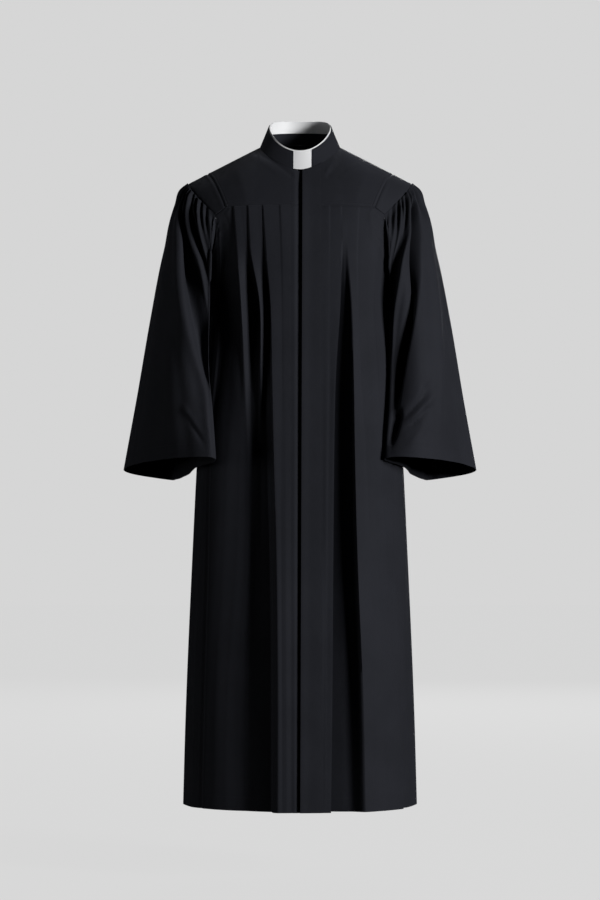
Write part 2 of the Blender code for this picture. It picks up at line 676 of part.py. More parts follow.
def collar_insert():
    """White band inside the collar; its tab fills the notch."""
    tab_columns = between([NOTCH[0] - 0.003, NOTCH[0] - 0.002, NOTCH[1] + 0.002, NOTCH[1] + 0.003],
                          [1, 5, 1])
    rest_start = math.asin((NOTCH[1] + 0.003) / COLLAR_TOP_HALF)
    rest_end = 2 * math.pi + math.asin((NOTCH[0] - 0.003) / COLLAR_TOP_HALF)
    rest = between([rest_start, rest_end], [36])[1:-1]
    top_turn = np.concatenate([np.arcsin(tab_columns / COLLAR_TOP_HALF), rest])
    tab = len(tab_columns)
    base_turn = np.concatenate([np.arcsin(tab_columns / NECK_HALF), rest])
    base, top = neckline(base_turn), collar_top(top_turn)
    in_tab = np.zeros(len(top_turn), bool)
    in_tab[1:tab - 1] = True
    low = np.where(in_tab, 0.05, 0.55)
    height = np.linalg.norm(top - base, axis=1)
    high = 1 + BAND_SHOWS / height
    rows = np.linspace(0, 1, 4)[:, None]
    share = mix(low, high, rows)[..., None]
    grid = mix(base, top, share)
    full = mix(base, top, np.linspace(0, 1, 4)[:, None, None])
    wrapped = np.concatenate([full[:, -1:], full, full[:, :1]], axis=1)
    normal = face_normals(wrapped)[:, 1:-1]
    outer = grid - normal * (CLOTH + GAP)
    add_wall("collar_insert", outer, outer - normal * BAND, closed=True,
             colour=(0.86, 0.86, 0.86), roughness=0.5)


for old in list(bpy.data.objects):
    bpy.data.objects.remove(old, do_unlink=True)
yokes()
shoulder_caps()
front_panels()
back_panel()
placket()
sleeves()
collar()
collar_insert()
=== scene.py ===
# Looks of the pulpit robe: a worn, yoked and pleated gown with bell sleeves and a notched collar.
# Metres, +Z up, the front faces -Y, the wearer's left is +X. Fold tables are in millimetres.
import math

import bpy
import numpy as np
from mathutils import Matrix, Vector


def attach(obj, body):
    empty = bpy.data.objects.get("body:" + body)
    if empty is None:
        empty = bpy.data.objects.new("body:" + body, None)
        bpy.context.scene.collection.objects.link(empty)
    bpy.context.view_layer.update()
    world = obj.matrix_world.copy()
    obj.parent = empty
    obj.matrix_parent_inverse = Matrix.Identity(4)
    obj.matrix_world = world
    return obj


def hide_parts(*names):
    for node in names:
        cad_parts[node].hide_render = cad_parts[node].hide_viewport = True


# Sizes shared with the frame's solids
CLOTH = 0.0018  # wall of the cloth pieces
BAND = 0.0012  # wall of the white collar band
GAP = 0.00005  # between pieces at a seam
NECK_HALF = 0.085  # half width of the neckline
NECK_FRONT = -0.080  # y of the neckline at the front
NECK_BACK = 0.066  # y of the neckline at the back
NECK_Z = -0.05  # level whose section the neckline is cut in
SHOULDER_Y = 0.005  # y of the shoulder seams and the side seams
RIDGE_X = 0.088  # x at which the shoulder seams are at z = 0
SHOULDER_FALL = 0.51  # drop of the shoulder seam for each metre outward
NECK_BEND = 0.05  # the shoulder line is rounded within this x
CHEST_Z = -0.24  # the front hangs plumb below this level
BACK_Z = -0.20  # the back hangs plumb below this level
ROUND_FRONT = 1.54  # how the form rounds over the shoulder in the middle of the front
ROUND_BACK = 0.75  # and of the back
ROUND_SIDE = 0.95  # and from ROUND_X outward
ROUND_X = 0.13
YOKE_Z = -0.127  # yoke seams, front and back
YOKE_DIP = 0.004  # how much lower the yoke seam is at its ends
UNDERARM_Z = -0.300  # lowest point of the armhole
HEM_Z = -1.390  # hem
YOKE_TOP_HALF = 0.197  # half width between the yoke's side seams on the shoulder
YOKE_LOW_HALF = 0.157  # the same at the yoke seam
NECK_SEAM_X = 0.094  # yoke seam x under the corner of neck and shoulder
CAP_TOP_HALF = 0.237  # half width between the sleeve seams on the shoulder
CAP_TIP_X = 0.178  # lower tips of the shoulder pieces
CAP_TIP_Z = -0.146
ARM_RADIUS = 0.17  # mean radius of the body's section beside the armhole
MEAN_RADIUS = 0.20  # mean radius of the body's section
ARC_SHARE = 0.52  # of a section's half width and depth, to be its mean radius for distances
OVERLAP = 0.022  # how far the right front passes under the left
LAP_END = 0.013  # x at which it has come up again
LAP_SMOOTH = 0.016  # x at which its folds have their full height
EDGE_X = 0.005  # edge of the left front at the yoke seam
EDGE_HEM_X = 0.0005  # and at the hem
HEM_CORNER_X = 0.178  # x at the hem of the cloth from the yoke's corner
PLACKET = 0.040  # width of the placket
PANEL_SMOOTH = 0.010  # width beside it over which the left front's folds grow
YOKE_SMOOTH = 0.006  # and the left yoke's
EDGE_LIFT = 0.0022  # how far the placket's free edge stands off
EDGE_ROLL = 0.012  # width over which it does
PLACKET_OVER = 0.0003  # room under the placket
EDGE_SINK = 0.0012  # how much further the right front lies back under it
COLLAR_TOP_HALF = 0.0673
COLLAR_TOP_FRONT = -0.070
COLLAR_TOP_BACK = 0.058
COLLAR_TOP_Z = (0.0315, -0.035, -0.0095)  # mean height of the top, its tilt and its bend
NOTCH = (-0.0140, 0.0258)  # x of the notch's edges in the stand collar
TAB_MARGIN = 0.003  # how far the band's tab reaches behind the notch's edges
BAND_SHOWS = 0.0035  # how far the white band stands above the collar
FLOOR_Z = -1.541  # the floor that the wearer stands on
CAMERA_AWAY = 8.0  # from the camera to the robe
CAMERA_Z = -0.640
VIEW_HEIGHT = 1.908  # height of the picture at the robe
SIDES = (("left", 1), ("right", -1))

# Sections of the body: half width, depth in front, depth behind, squareness
LEVELS = {
    "z":      (0.00, -0.075, -0.127, -0.200, -0.300, -0.500, -0.760, -0.960, -1.170, -1.390),
    "half":   (0.262, 0.262, 0.245, 0.222, 0.2035, 0.2110, 0.2225, 0.2290, 0.2350, 0.2410),
    "front":  (0.140, 0.140, 0.140, 0.140, 0.141, 0.150, 0.168, 0.183, 0.199, 0.214),
    "back":   (0.118, 0.118, 0.119, 0.122, 0.125, 0.136, 0.162, 0.182, 0.203, 0.224),
    "square": (2.50, 2.50, 2.50, 2.50, 2.50, 2.45, 2.38, 2.32, 2.26, 2.20),
}

# Folds of the hanging panels. Each line is a crest or the foot of a fold: its distance from the
# middle and its height over the smooth form at these levels, in millimetres.
LINE_LEVELS = (-0.127, -0.215, -0.330, -0.480, -0.640, -0.880, -1.140, -1.390)
LINES = {"front_right": (
    ((16, 16, 16, 16, 16, 16, 16, 16), (0, 0, 0, 0, 0, 0, 0, 0)),
    ((41, 37, 35, 34, 33, 32, 31, 30), (1, 0.8, 0.6, 0.8, 1.6, 3, 3.2, 3)),
    ((44, 41, 38, 37, 36.5, 36, 35, 34), (-0.8, -0.3, 0.2, 0.6, 1.8, 3.4, 3.7, 3.5)),
    ((77, 71, 61, 57.5, 54, 48, 45, 45), (1, 1.6, 3, 3.8, 4.6, 6, 6.4, 6)),
    ((79.3, 75, 65.5, 64, 60, 56, 54, 54), (-0.9, -3.6, -12, -13, -9, -3, -1, -1)),
    ((88, 80, 74, 74, 74, 68, 66, 66), (-0.6, -3, -13, -16, -26, -33, -34, -32)),
    ((108, 103, 84.5, 84, 88, 90, 92, 92), (1.2, 1.4, 0.5, -8, -28, -35, -36.5, -34)),
    ((110.3, 106.5, 89, 90, 96, 101, 108, 108), (-1, -3.5, -16, -19, -28.5, -35, -37, -35)),
    ((124, 114, 112, 109, 108, 112, 128, 130), (-0.6, -2.5, -18, -20, -28.5, -34, -36, -34)),
    ((138.5, 131, 122, 120, 120, 126, 146, 148), (1.3, 2.4, 3, -10, -25, -30, -31, -29)),
    ((141, 134.5, 128, 130, 136, 146, 168, 172), (-1, -3, -5, -13, -22, -25, -24, -22)),
    ((150, 146, 147, 154, 164, 176, 191, 197), (-0.6, -5, -9, -14, -17, -18, -17, -15)),
    ((163, 163, 165, 176, 192, 199, 207, 211), (0, -7, -12, -13, -10, -10, -11, -10)),
    ((167, 167, 170, 181, 197, 203, 211, 215), (0, -6, -11, -12, -11, -11, -12, -11)),
    ((171, 171, 175, 186, 201, 207, 215, 219), (0, -4, -8, -8, -8, -7, -7.5, -7)),
    ((178, 178, 182, 192, 206, 215, 223, 228), (0, -3, -6, -6, -5, -2, -1, 0)),
), "front_left": (
    ((45, 45, 45, 45, 45, 45, 45, 45), (0, 0, 0, 0, 0, 0, 0, 0)),
    ((61, 60, 59, 58, 56, 54, 53, 51), (0.3, 0.1, 0.1, 0.2, 0.2, 0.2, 0.2, 0.2)),
    ((63.5, 63, 62, 61, 59, 57, 56, 54), (-0.4, -0.2, 0, 0, 0, 0, 0, 0)),
    ((85.2, 86.5, 84, 74.5, 71, 69, 67, 64), (0.3, 0.3, 2, 2.2, 1.4, 0.8, 0.4, 0.2)),
    ((87.5, 89, 86.5, 77, 73, 71.5, 70.5, 69), (-0.4, -0.5, -21, -34, -40, -44, -48, -46)),
    ((93, 93, 98, 99, 100, 103, 112, 116), (-0.2, -0.3, -13, -22, -26, -26, -24, -21)),
    ((100, 100, 107, 110, 112, 117, 127, 132), (0, 0.3, 3, 7, 8.5, 9, 9, 8)),
    ((122.5, 118, 119, 124, 129, 135, 144, 150), (0.2, 0.5, 2.4, 5.2, 7, 7.6, 7.6, 7)),
    ((125, 121.5, 121.5, 126, 135, 145, 152, 160), (-0.3, -0.4, 0.8, 2.6, 4.6, 5.2, 5.4, 5.2)),
    ((146, 148, 152, 158, 162, 173, 193, 206), (0.4, 0.8, 2.4, 5, 6.4, 6.5, 6.7, 6.7)),
    ((149, 151.5, 156, 162, 166.5, 177, 197, 210), (0.3, 0.8, 2.6, 5.4, 7, 7.2, 7.4, 7.4)),
    ((153, 155, 159, 165, 170, 180.5, 200.5, 213), (0, 0.4, 2.4, 4.6, 4.8, 3.4, 3.2, 3.2)),
    ((160, 162, 168, 176, 188, 196, 209, 216), (0, 0, 2.4, 5, 4, 1, 0, -1)),
    ((166, 168, 173, 182, 193, 200, 213, 220), (0, 0, 2.4, 5, 2, -1.6, -2.6, -3)),
    ((172, 174, 180, 190, 198, 204, 217, 224), (0, 0, 2, 4, 4, 1, 0.5, 0)),
), "back": (
    ((0, 0, 0, 0, 0, 0, 0, 0), (0, 0, 0, -1, -2, -6, -12, -14)),
    ((28, 27, 28, 29, 31, 34, 37, 39), (1.2, 4, 7, 7.5, 7, 5, 1, -1)),
    ((32, 36, 41, 42, 44, 49, 53, 57), (-1.2, -4.5, -7.5, -8, -8, -9, -11, -12)),
    ((60, 62, 66, 70, 76, 82, 88, 92), (1.2, 3.6, 5.5, 6.2, 6, 6, 5, 4)),
    ((64, 68, 75, 82, 90, 98, 106, 111), (-1.2, -4, -6, -6.5, -7, -7, -6.5, -6)),
    ((93, 97, 103, 110, 118, 127, 136, 142), (1.2, 3.6, 6, 7, 7.5, 8, 8, 8)),
    ((97, 104, 113, 122, 132, 142, 151, 157), (-1.2, -4, -6.5, -7, -7, -6.5, -5, -4)),
    ((126, 130, 138, 148, 158, 168, 178, 186), (1, 3, 4.5, 5, 6, 9, 13, 15)),
    ((130, 138, 150, 162, 174, 187, 201, 208), (-1, -3, -4, -4, -3, -2, 0, -1)),
    ((165, 170, 176, 190, 200, 210, 219, 226), (0, 0, 0, -1, -2, -7, -13, -14)),
), "back_right": (
    ((0, 0, 0, 0, 0, 0, 0, 0), (0, 0, 0, -1, -2, -6, -12, -14)),
    ((26, 24, 24, 26, 30, 32, 33, 36), (1, 3, 5.5, 7, 8, 6, 2, -1)),
    ((30, 33, 36, 39, 44, 48, 50, 54), (-1.2, -4, -7, -8, -8.5, -9.5, -11, -12)),
    ((56, 60, 68, 75, 80, 84, 86, 90), (1.2, 4, 6.5, 7, 6, 5, 5, 5)),
    ((60, 66, 77, 86, 94, 100, 104, 108), (-1.2, -4, -6.5, -7, -7, -7.5, -7, -6)),
    ((90, 92, 99, 108, 117, 124, 134, 142), (1.2, 3, 5, 6.5, 8, 9, 9, 8)),
    ((94, 99, 109, 120, 131, 139, 149, 157), (-1.2, -4, -6, -7, -7, -6, -5, -4)),
    ((122, 127, 136, 147, 156, 164, 173, 181), (1, 3.5, 5.5, 6, 6, 8, 11, 14)),
    ((126, 135, 148, 161, 172, 183, 196, 204), (-1, -3, -4.5, -4, -3, -2, 0, 0)),
    ((165, 170, 176, 190, 200, 210, 219, 226), (0, 0, 0, -1, -2, -7, -13, -14)),
)}

# Meshes of the body panels: how many of the lines the columns follow, columns along the low
# armhole, rows, and where a front's first columns start at the yoke seam and at the hem
PANELS = {
    "front_left": (9, 76, 180, [EDGE_X], [EDGE_HEM_X]),
    "front_right": (10, 76, 180, [-OVERLAP, 0.0], [-OVERLAP, 0.0]),
    "back": (7, 40, 150, [], []),
    "back_right": (7, 40, 150, [], []),
}

SIDE_FLUTE = (0.007, 0.030)  # height and width of the flute along each side seam
SIDE_FADE = 12  # degrees over which the other folds die away at the side seam
FLUTE_START = -0.62  # the side flutes begin below the sleeves' hems

UNEVEN = 0.0009  # height of the panels' small unevenness
SLEEVE_UNEVEN = 0.0011  # and of the sleeves'

# Soft folds of the front yokes, as lines of x and height with the fold's height and width
YOKE_FOLDS = {"front_right": (
    (((93, -13), (66, -27), (42, -44), (18, -64)), -1.3, 5),
    (((98, -24), (74, -38), (50, -56)), 0.8, 6),
    (((134, -52), (120, -84), (112, -112)), 0.6, 9),
), "front_left": (
    (((125, -36), (104, -52), (85, -68)), 0.9, 4),
    (((74, -27), (66, -38), (57, -53)), 1.1, 4),
    (((84, -38), (70, -54), (60, -64)), -1.2, 5),
    (((138, -58), (126, -86), (118, -110)), 0.6, 9),
)}
# Small wrinkles of the fronts beside the armholes, in the same way
WRINKLES = {"front_right": (
    (((147, -136), (158, -147), (170, -156)), 1, 3),
    (((150, -147), (163, -159), (174, -170)), 0.8, 3),
    (((149, -160), (160, -173), (172, -188)), 0.9, 4),
    (((160, -148), (153, -158), (149, -170)), -0.8, 3),
), "front_left": (
    (((150, -138), (160, -150), (169, -165)), 1, 3),
    (((145, -146), (156, -160), (167, -178)), 0.9, 3),
    (((146, -160), (156, -176), (170, -198)), 1, 4),
    (((150, -184), (162, -206), (178, -236)), 0.8, 5),
)}

STITCH_IN = 0.0075  # distance of the yokes' topstitching from the seam
EDGE_STITCH = 0.003  # of the placket's from its outer edge
LAP_STITCH = 0.043  # of the right front's from its hidden edge
HEM_STITCH = 0.028  # of the hem's and the cuffs'
# Pressed cloth beside a seam: its ridge, its groove and the stitches' own groove, each with its
# height, its distance from the seam and its half width
SEAM_PRESS = ((0.0005, 0.006, 0.004), (-0.0012, 0, 0.0017), (-0.0006, STITCH_IN, 0.0011))
PITCH = 0.0036  # from one stitch to the next
THREAD = 0.0026  # length of a stitch
# Faces of one stitch between its two ends and the four corners round its middle
BEAD = ((0, 2, 4), (0, 4, 3), (0, 3, 5), (0, 5, 2), (1, 4, 2), (1, 3, 4), (1, 5, 3), (1, 2, 5))

# Sleeve sections: the points that are outermost, frontmost, innermost and rearmost
SLEEVE_V = (0.00, 0.08, 0.25, 0.50, 0.76, 1.00)
SLEEVE = {
    "outer": ((0.237, 0.005, -0.077), (0.262, 0.008, -0.124), (0.290, 0.012, -0.222),
              (0.318, 0.018, -0.368), (0.344, 0.025, -0.534), (0.368, 0.030, -0.676)),
    "front": ((0.178, -0.090, -0.146), (0.187, -0.101, -0.185), (0.190, -0.104, -0.270),
              (0.193, -0.114, -0.395), (0.193, -0.138, -0.533), (0.187, -0.160, -0.655)),
    "inner": ((0.2035, 0.005, -0.300), (0.213, 0.006, -0.320), (0.222, 0.010, -0.385),
              (0.228, 0.018, -0.480), (0.234, 0.026, -0.590), (0.240, 0.034, -0.694)),
    "back": ((0.178, 0.0915, -0.146), (0.194, 0.108, -0.184), (0.215, 0.120, -0.275),
             (0.245, 0.126, -0.400), (0.276, 0.128, -0.545), (0.300, 0.128, -0.702)),
}
# How much further forward a sleeve hangs half way from its outermost to its frontmost point
SLEEVE_FORWARD = {
    "left": (0.0, 0.010, 0.028, 0.042, 0.040, 0.028),
    "right": (0.0, 0.008, 0.028, 0.036, 0.018, 0.0),
}
FRONT_EDGE = (98, 34)  # place of the frontmost edge and how far round it counts, in degrees
# How far back that edge itself lies
SLEEVE_EDGE_BACK = {
    "left": (0.0, 0.002, 0.009, 0.017, 0.025, 0.025),
    "right": (0.0, 0.004, 0.016, 0.028, 0.022, 0.006),
}
# The deep hollow that the right sleeve's front edge hangs before: its place round the sleeve in
# degrees and its depth
HOLLOW = {
    "v":     (0.04, 0.15, 0.28, 0.45, 0.61, 0.74, 0.90),
    "place": (40.0, 44.0, 48.5, 60.5, 76.5, 91.0, 99.0),
    "depth": (0.0, 0.022, 0.040, 0.044, 0.030, 0.010, 0.0),
}
SLEEVE_RADII = (85, 125)  # mean radius of a sleeve at its head and at its cuff, in millimetres
HOLLOW_OUTER = 0.008  # how it fades towards the sleeve's outside
HOLLOW_INNER = 0.036  # and towards the body
BODY_CLEAR = 0.011  # room between a sleeve and the body's smooth form
FIRST_CLEAR = 0.064  # share of the sleeve's length from which it keeps that room
PUSH_ROUNDING = 0.005  # how softly the body pushes a sleeve outward

# Folds of the sleeves: where each runs, as pairs of how far down the sleeve it is and the place
# round it in degrees from the outside over the front, then its height and the widths of its two
# sides, towards lower and higher places, in millimetres
SLEEVE_FOLDS = {"right": (
    (((0.03, 32), (0.15, 36), (0.28, 41), (0.45, 53), (0.61, 69), (0.72, 83), (0.86, 88),
      (1.15, 96)), 8, 15, 7),
    (((0, 41), (0.03, 51), (0.08, 57), (0.2, 66), (0.31, 77), (0.44, 90)), 7, 10, 7),
    (((0.03, 61), (0.15, 69), (0.3, 82)), -8, 5, 6),
    (((0, 64), (0.07, 73), (0.15, 80), (0.26, 92)), 5, 5, 6),
    (((0.08, 18), (0.4, 22), (0.8, 24), (1.15, 26)), 3.5, 16, 16),
    (((0.5, 40), (0.7, 52), (0.9, 60), (1.15, 64)), -4, 14, 14),
    (((0.78, 56), (0.85, 66), (0.92, 80)), 3.5, 9, 7),
    (((0.82, 60), (0.9, 72), (0.97, 84)), -4, 7, 8),
    (((0.08, 316), (0.5, 310), (1.15, 302)), 10, 22, 22),
    (((0.1, 292), (0.5, 282), (1.15, 270)), -10, 20, 22),
    (((0.2, 264), (0.55, 254), (1.15, 242)), 8, 18, 20),
    (((0.04, 326), (0.2, 318), (0.42, 300)), -6, 9, 10),
    (((0.3, 228), (0.6, 222), (1.15, 214)), -5, 18, 18),
    (((0.72, 330), (0.8, 312), (0.88, 296)), 4, 12, 10),
    (((0.35, 150), (0.6, 152), (1.15, 156)), 4, 16, 16),
), "left": (
    (((0, 52), (0.03, 56), (0.16, 58), (0.29, 66), (0.48, 83), (0.66, 94)), 10, 6, 10),
    (((0.02, 32), (0.05, 38), (0.19, 42), (0.32, 48), (0.48, 61), (0.65, 75), (0.88, 86)),
     -33, 6.5, 17),
    (((0.06, 22), (0.15, 24), (0.41, 27), (0.61, 31), (0.85, 38), (1.15, 42)), 9, 11, 10),
    (((0, 68), (0.05, 71), (0.12, 76), (0.24, 88)), 4.5, 5, 6),
    (((0.3, 8), (0.6, 6), (1.15, 10)), -3.5, 14, 14),
    (((0.7, 44), (0.76, 50), (0.81, 63), (0.87, 80)), -7, 8, 8),
    (((0.74, 40), (0.82, 55), (0.88, 72)), 4.5, 9, 7),
    (((0.79, 46), (0.85, 58), (0.9, 74)), -6, 7, 7),
    (((0.8, 77), (0.88, 82), (0.97, 90)), -12, 8, 22),
    (((0.84, 46), (0.91, 58), (0.98, 70)), 3, 9, 9),
    (((0.1, 314), (0.5, 307), (1.15, 299)), 10, 23, 22),
    (((0.12, 290), (0.5, 280), (1.15, 266)), -10, 20, 22),
    (((0.22, 262), (0.55, 252), (1.15, 238)), 8, 19, 20),
    (((0.05, 322), (0.22, 312), (0.46, 296)), -6, 9, 10),
    (((0.3, 226), (0.6, 218), (1.15, 212)), -5, 18, 18),
    (((0.66, 326), (0.76, 310), (0.86, 292)), -5, 12, 10),
    (((0.35, 146), (0.6, 150), (1.15, 152)), 4, 16, 16),
)}

# Gathers that leave the sleeves' seams: place in degrees, how far it travels round the sleeve, how
# far down it fades out, height and half width in millimetres. The back half repeats them.
GATHERS = {"right": (
    (3, 0, 0.24, 5, 4.6), (12, 2, 0.17, 5, 3.8), (20, 4, 0.26, 6, 4.4),
    (29, 8, 0.15, 4.6, 3.6), (37, 12, 0.2, 6, 3.8), (46, 26, 0.34, 7, 4.4),
    (55, 20, 0.17, 5.4, 3.4), (64, 26, 0.24, 6.6, 3.8), (73, 18, 0.17, 5.6, 3.4),
    (82, 14, 0.13, 4.8, 3.4), (91, 10, 0.1, 3.6, 3.4),
), "left": (
    (4, 0, 0.26, 5, 4.4), (13, 2, 0.18, 5, 4), (22, 4, 0.24, 5.6, 4.2),
    (31, 7, 0.14, 4.4, 3.4), (41, 10, 0.18, 5.6, 3.8), (51, 5, 0.14, 6, 4.2),
    (60, 20, 0.17, 5.4, 3.6), (67, 22, 0.21, 6, 3.6), (75, 20, 0.2, 6.2, 3.8),
    (84, 14, 0.13, 4.6, 3.4), (92, 10, 0.1, 3.6, 3.4),
)}

# Density of the meshes
CAP_COLUMNS = 150  # along a shoulder piece
ARM_COLUMNS = 48  # of a sleeve along half of the low armhole
FOOT_COLUMNS = 8  # along the shoulder pieces' lower edges
SEAM_ROWS = 12  # of a panel's rows, in the first SEAM_SHARE of its length
SEAM_SHARE = 0.0075
SLEEVE_ROWS = 106
COLUMN_WIDTH = 0.0016  # between columns at the yoke seam

STEP = 1e-4  # for slopes worked out by differences


def curve(places, values, at):
    """Smooth curve through the table's points, read at the given places."""
    places = np.asarray(places, float)
    values = np.asarray(values, float)
    if places[0] > places[-1]:
        places, values = places[::-1], values[::-1]
    slope = np.gradient(values, places, axis=0)
    at = np.clip(at, places[0], places[-1])
    i = np.clip(np.searchsorted(places, at, side="right") - 1, 0, len(places) - 2)
    span = places[i + 1] - places[i]
    t = (at - places[i]) / span
    if values.ndim > 1:
        t, span = t[..., None], span[..., None]
    bend = (1 - t) ** 2 * t * slope[i] - (1 - t) * t * t * slope[i + 1]
    return mix(values[i], values[i + 1], ease(t)) + bend * span


def ease(t):
    """Smooth step from 0 to 1."""
    t = np.clip(t, 0.0, 1.0)
    return t * t * (3 - 2 * t)


def bell(t):
    """Smooth hump of height 1 at nought."""
    return np.exp(-t * t)


def mix(a, b, t):
    return a + (b - a) * t


def unit(vectors):
    return vectors / np.linalg.norm(vectors, axis=-1, keepdims=True)


def level(name, z):
    return curve(LEVELS["z"], LEVELS[name], z)


def depth_at(z, back):
    return level("back" if back else "front", z)


def section(share, z):
    """Share of its full depth that the form's section has at a share of its half width."""
    square = level("square", z)
    return np.clip(1 - share ** square, 0, 1) ** (1 / square)


def ridge(x):
    """Height of the shoulder seam, rounded where the neck opening crosses the middle."""
    away = np.where(np.abs(x) < NECK_BEND, (x * x / NECK_BEND + NECK_BEND) / 2, np.abs(x))
    return -SHOULDER_FALL * (away - RIDGE_X)


def drop(x, back):
    """Height of the shoulder seam over the level from which the form hangs plumb."""
    return ridge(x) - (BACK_Z if back else CHEST_Z)


def roundness(x, back):
    """How the section at x rounds over from the shoulder to the chest or back."""
    return mix(ROUND_BACK if back else ROUND_FRONT, ROUND_SIDE, ease(np.abs(x) / ROUND_X))


def swell(x, z, back):
    """Share of the full depth that the form has reached at height z."""
    t = np.clip((ridge(x) - z) / drop(x, back), 0, 1)
    return np.sqrt(1 - (1 - t) ** 2) ** roundness(x, back)


def torso(angle, z, back):
    """Point of the smooth form: angle 0 is the middle, 90 degrees the side."""
    power = 2 / level("square", z)
    x = np.sign(angle) * level("half", z) * np.abs(np.sin(angle)) ** power
    depth = depth_at(z, back) * np.clip(np.cos(angle), 0, 1) ** power
    y = SHOULDER_Y + (1 if back else -1) * depth * swell(x, z, back)
    return np.stack([x, y, z + 0.0 * x], -1)


def torso_normal(angle, z, back):
    across = torso(angle + STEP, z, back) - torso(angle - STEP, z, back)
    up = torso(angle, z + STEP, back) - torso(angle, z - STEP, back)
    return unit(np.cross(across, up)) * (-1.0 if back else 1.0)


def angle_of(x, z):
    """Ring angle at which the form has this x."""
    share = np.clip(np.abs(x) / level("half", z), 0, 1)
    return np.sign(x) * np.arcsin(share ** (level("square", z) / 2))


def shoulder(x, turn, back):
    """Point of the same form over the shoulder: turn 0 is the shoulder seam."""
    z = ridge(x) - drop(x, back) * (1 - np.cos(turn))
    depth = depth_at(z, back) * section(np.abs(x) / level("half", z), z)
    depth = depth * np.sin(turn) ** roundness(x, back)
    return np.stack([x + 0.0 * turn, SHOULDER_Y + (1 if back else -1) * depth, z], -1)


def shoulder_normal(x, turn, back):
    turn = np.maximum(turn, 0.0)
    across = shoulder(x + STEP, turn, back) - shoulder(x - STEP, turn, back)
    down = shoulder(x, turn + 0.01, back) - shoulder(x, np.maximum(turn - 0.01, 0), back)
    return unit(np.cross(across, down)) * (1.0 if back else -1.0)


def turn_at(x, z, back):
    """Turn at which the form has reached height z."""
    return np.arccos(np.clip(1 - (ridge(x) - z) / drop(x, back), -1, 1))


def yoke_seam(x):
    return YOKE_Z - YOKE_DIP * (np.abs(x) / YOKE_LOW_HALF) ** 4


def ring(half, front, back, turn):
    """x and y of an oval ring: turn 0 is the front, pi the back."""
    return half * np.sin(turn), (front + back) / 2 - (back - front) / 2 * np.cos(turn)


def neckline(turn):
    """Neckline on the form."""
    x, y = ring(NECK_HALF, NECK_FRONT, NECK_BACK, turn)
    share = section(np.abs(x) / level("half", NECK_Z), NECK_Z)
    z = np.zeros_like(x)
    for back in (False, True):
        lean = np.abs(y - SHOULDER_Y) / (depth_at(NECK_Z, back) * share)
        lean = lean ** (1 / roundness(x, back))
        fall = drop(x, back) * (1 - np.sqrt(np.clip(1 - lean * lean, 0, 1)))
        z = np.where((y > SHOULDER_Y) == back, ridge(x) - fall, z)
    return np.stack([x, y, z], -1)


def collar_top(turn):
    x, y = ring(COLLAR_TOP_HALF, COLLAR_TOP_FRONT, COLLAR_TOP_BACK, turn)
    mean, tilt, bend = COLLAR_TOP_Z
    return np.stack([x, y, mean + tilt * np.cos(turn) + bend * np.cos(2 * turn)], -1)


def arc(angle, z):
    """Distance along the body's section that a ring angle stands for."""
    return angle * (level("half", z) + level("front", z)) * ARC_SHARE


def side_relief(relief, angle, z):
    """Bring the front's and the back's folds to one height along the side seam."""
    height, width = SIDE_FLUTE
    from_side = math.pi / 2 - angle
    flute = height * ease((FLUTE_START - z) / 0.65) * bell(arc(from_side, z) / width)
    return relief * ease(np.degrees(from_side) / SIDE_FADE) + flute


def fold_lines(kind, z):
    """Ring angles and heights of a panel's fold lines at the given levels."""
    angles, heights = [], []
    for number, (places, rises) in enumerate(LINES[kind]):
        x = curve(LINE_LEVELS, places, z) / 1000
        angles.append(angle_of(x, z) + number * 1e-5)
        heights.append(curve(LINE_LEVELS, rises, z) / 1000)
    angles, heights = np.array(angles), np.array(heights)
    return np.maximum.accumulate(angles, axis=0), heights


def fold_relief(kind, angle, z):
    """Height of the folds: a smooth step between near lines, a straight slope between far ones."""
    angles, heights = fold_lines(kind, z + 0 * angle)
    side = np.full((1,) + angle.shape, math.pi / 2)
    angles = np.concatenate([angles, side])
    heights = np.concatenate([heights, 0 * side])
    low = np.clip(np.sum(angles <= angle, axis=0) - 1, 0, len(angles) - 2)[None]
    a, b, ha, hb = [np.take_along_axis(values, low + next_one, 0)[0]
                    for values in (angles, heights) for next_one in (0, 1)]
    share = (angle - a) / np.maximum(b - a, 1e-6)
    straight = 0.75 * ease(((b - a) * MEAN_RADIUS - 0.008) / 0.012)
    return mix(ha, hb, mix(ease(share), share, straight))


def drift(a, b, phase):
    """Small unevenness of hanging cloth, in shares of its height, along two lengths in metres."""
    return (np.sin(a * 71 + 3.1 * np.sin(b * 4.3 + phase) + phase) * 0.45
            + np.sin(a * 43 - b * 7.9 + 2.3 * phase) * 0.35
            + np.sin(a * 113 + b * 5.7 + 1.7 * phase) * 0.20)


def armhole(share):
    """Angle and height of the armhole from the shoulder piece's tip to the underarm."""
    quarter = share * math.pi / 2
    down = np.sin(quarter) ** (4 / 3)
    out = 1 - np.cos(quarter) ** (4 / 3)
    start = angle_of(CAP_TIP_X, CAP_TIP_Z)
    return mix(start, math.pi / 2, out), mix(CAP_TIP_Z, UNDERARM_Z, down)


def cap_edge(share, back, outer):
    """x and turn of the shoulder piece's edges, from the shoulder seam to the tip."""
    if outer:
        x = mix(CAP_TOP_HALF, CAP_TIP_X, share ** 2.5)
        tip = turn_at(CAP_TIP_X, CAP_TIP_Z, back)
    else:
        x = mix(YOKE_TOP_HALF, YOKE_LOW_HALF, share ** 1.5)
        tip = turn_at(YOKE_LOW_HALF, yoke_seam(YOKE_LOW_HALF), back)
    return x, tip * share


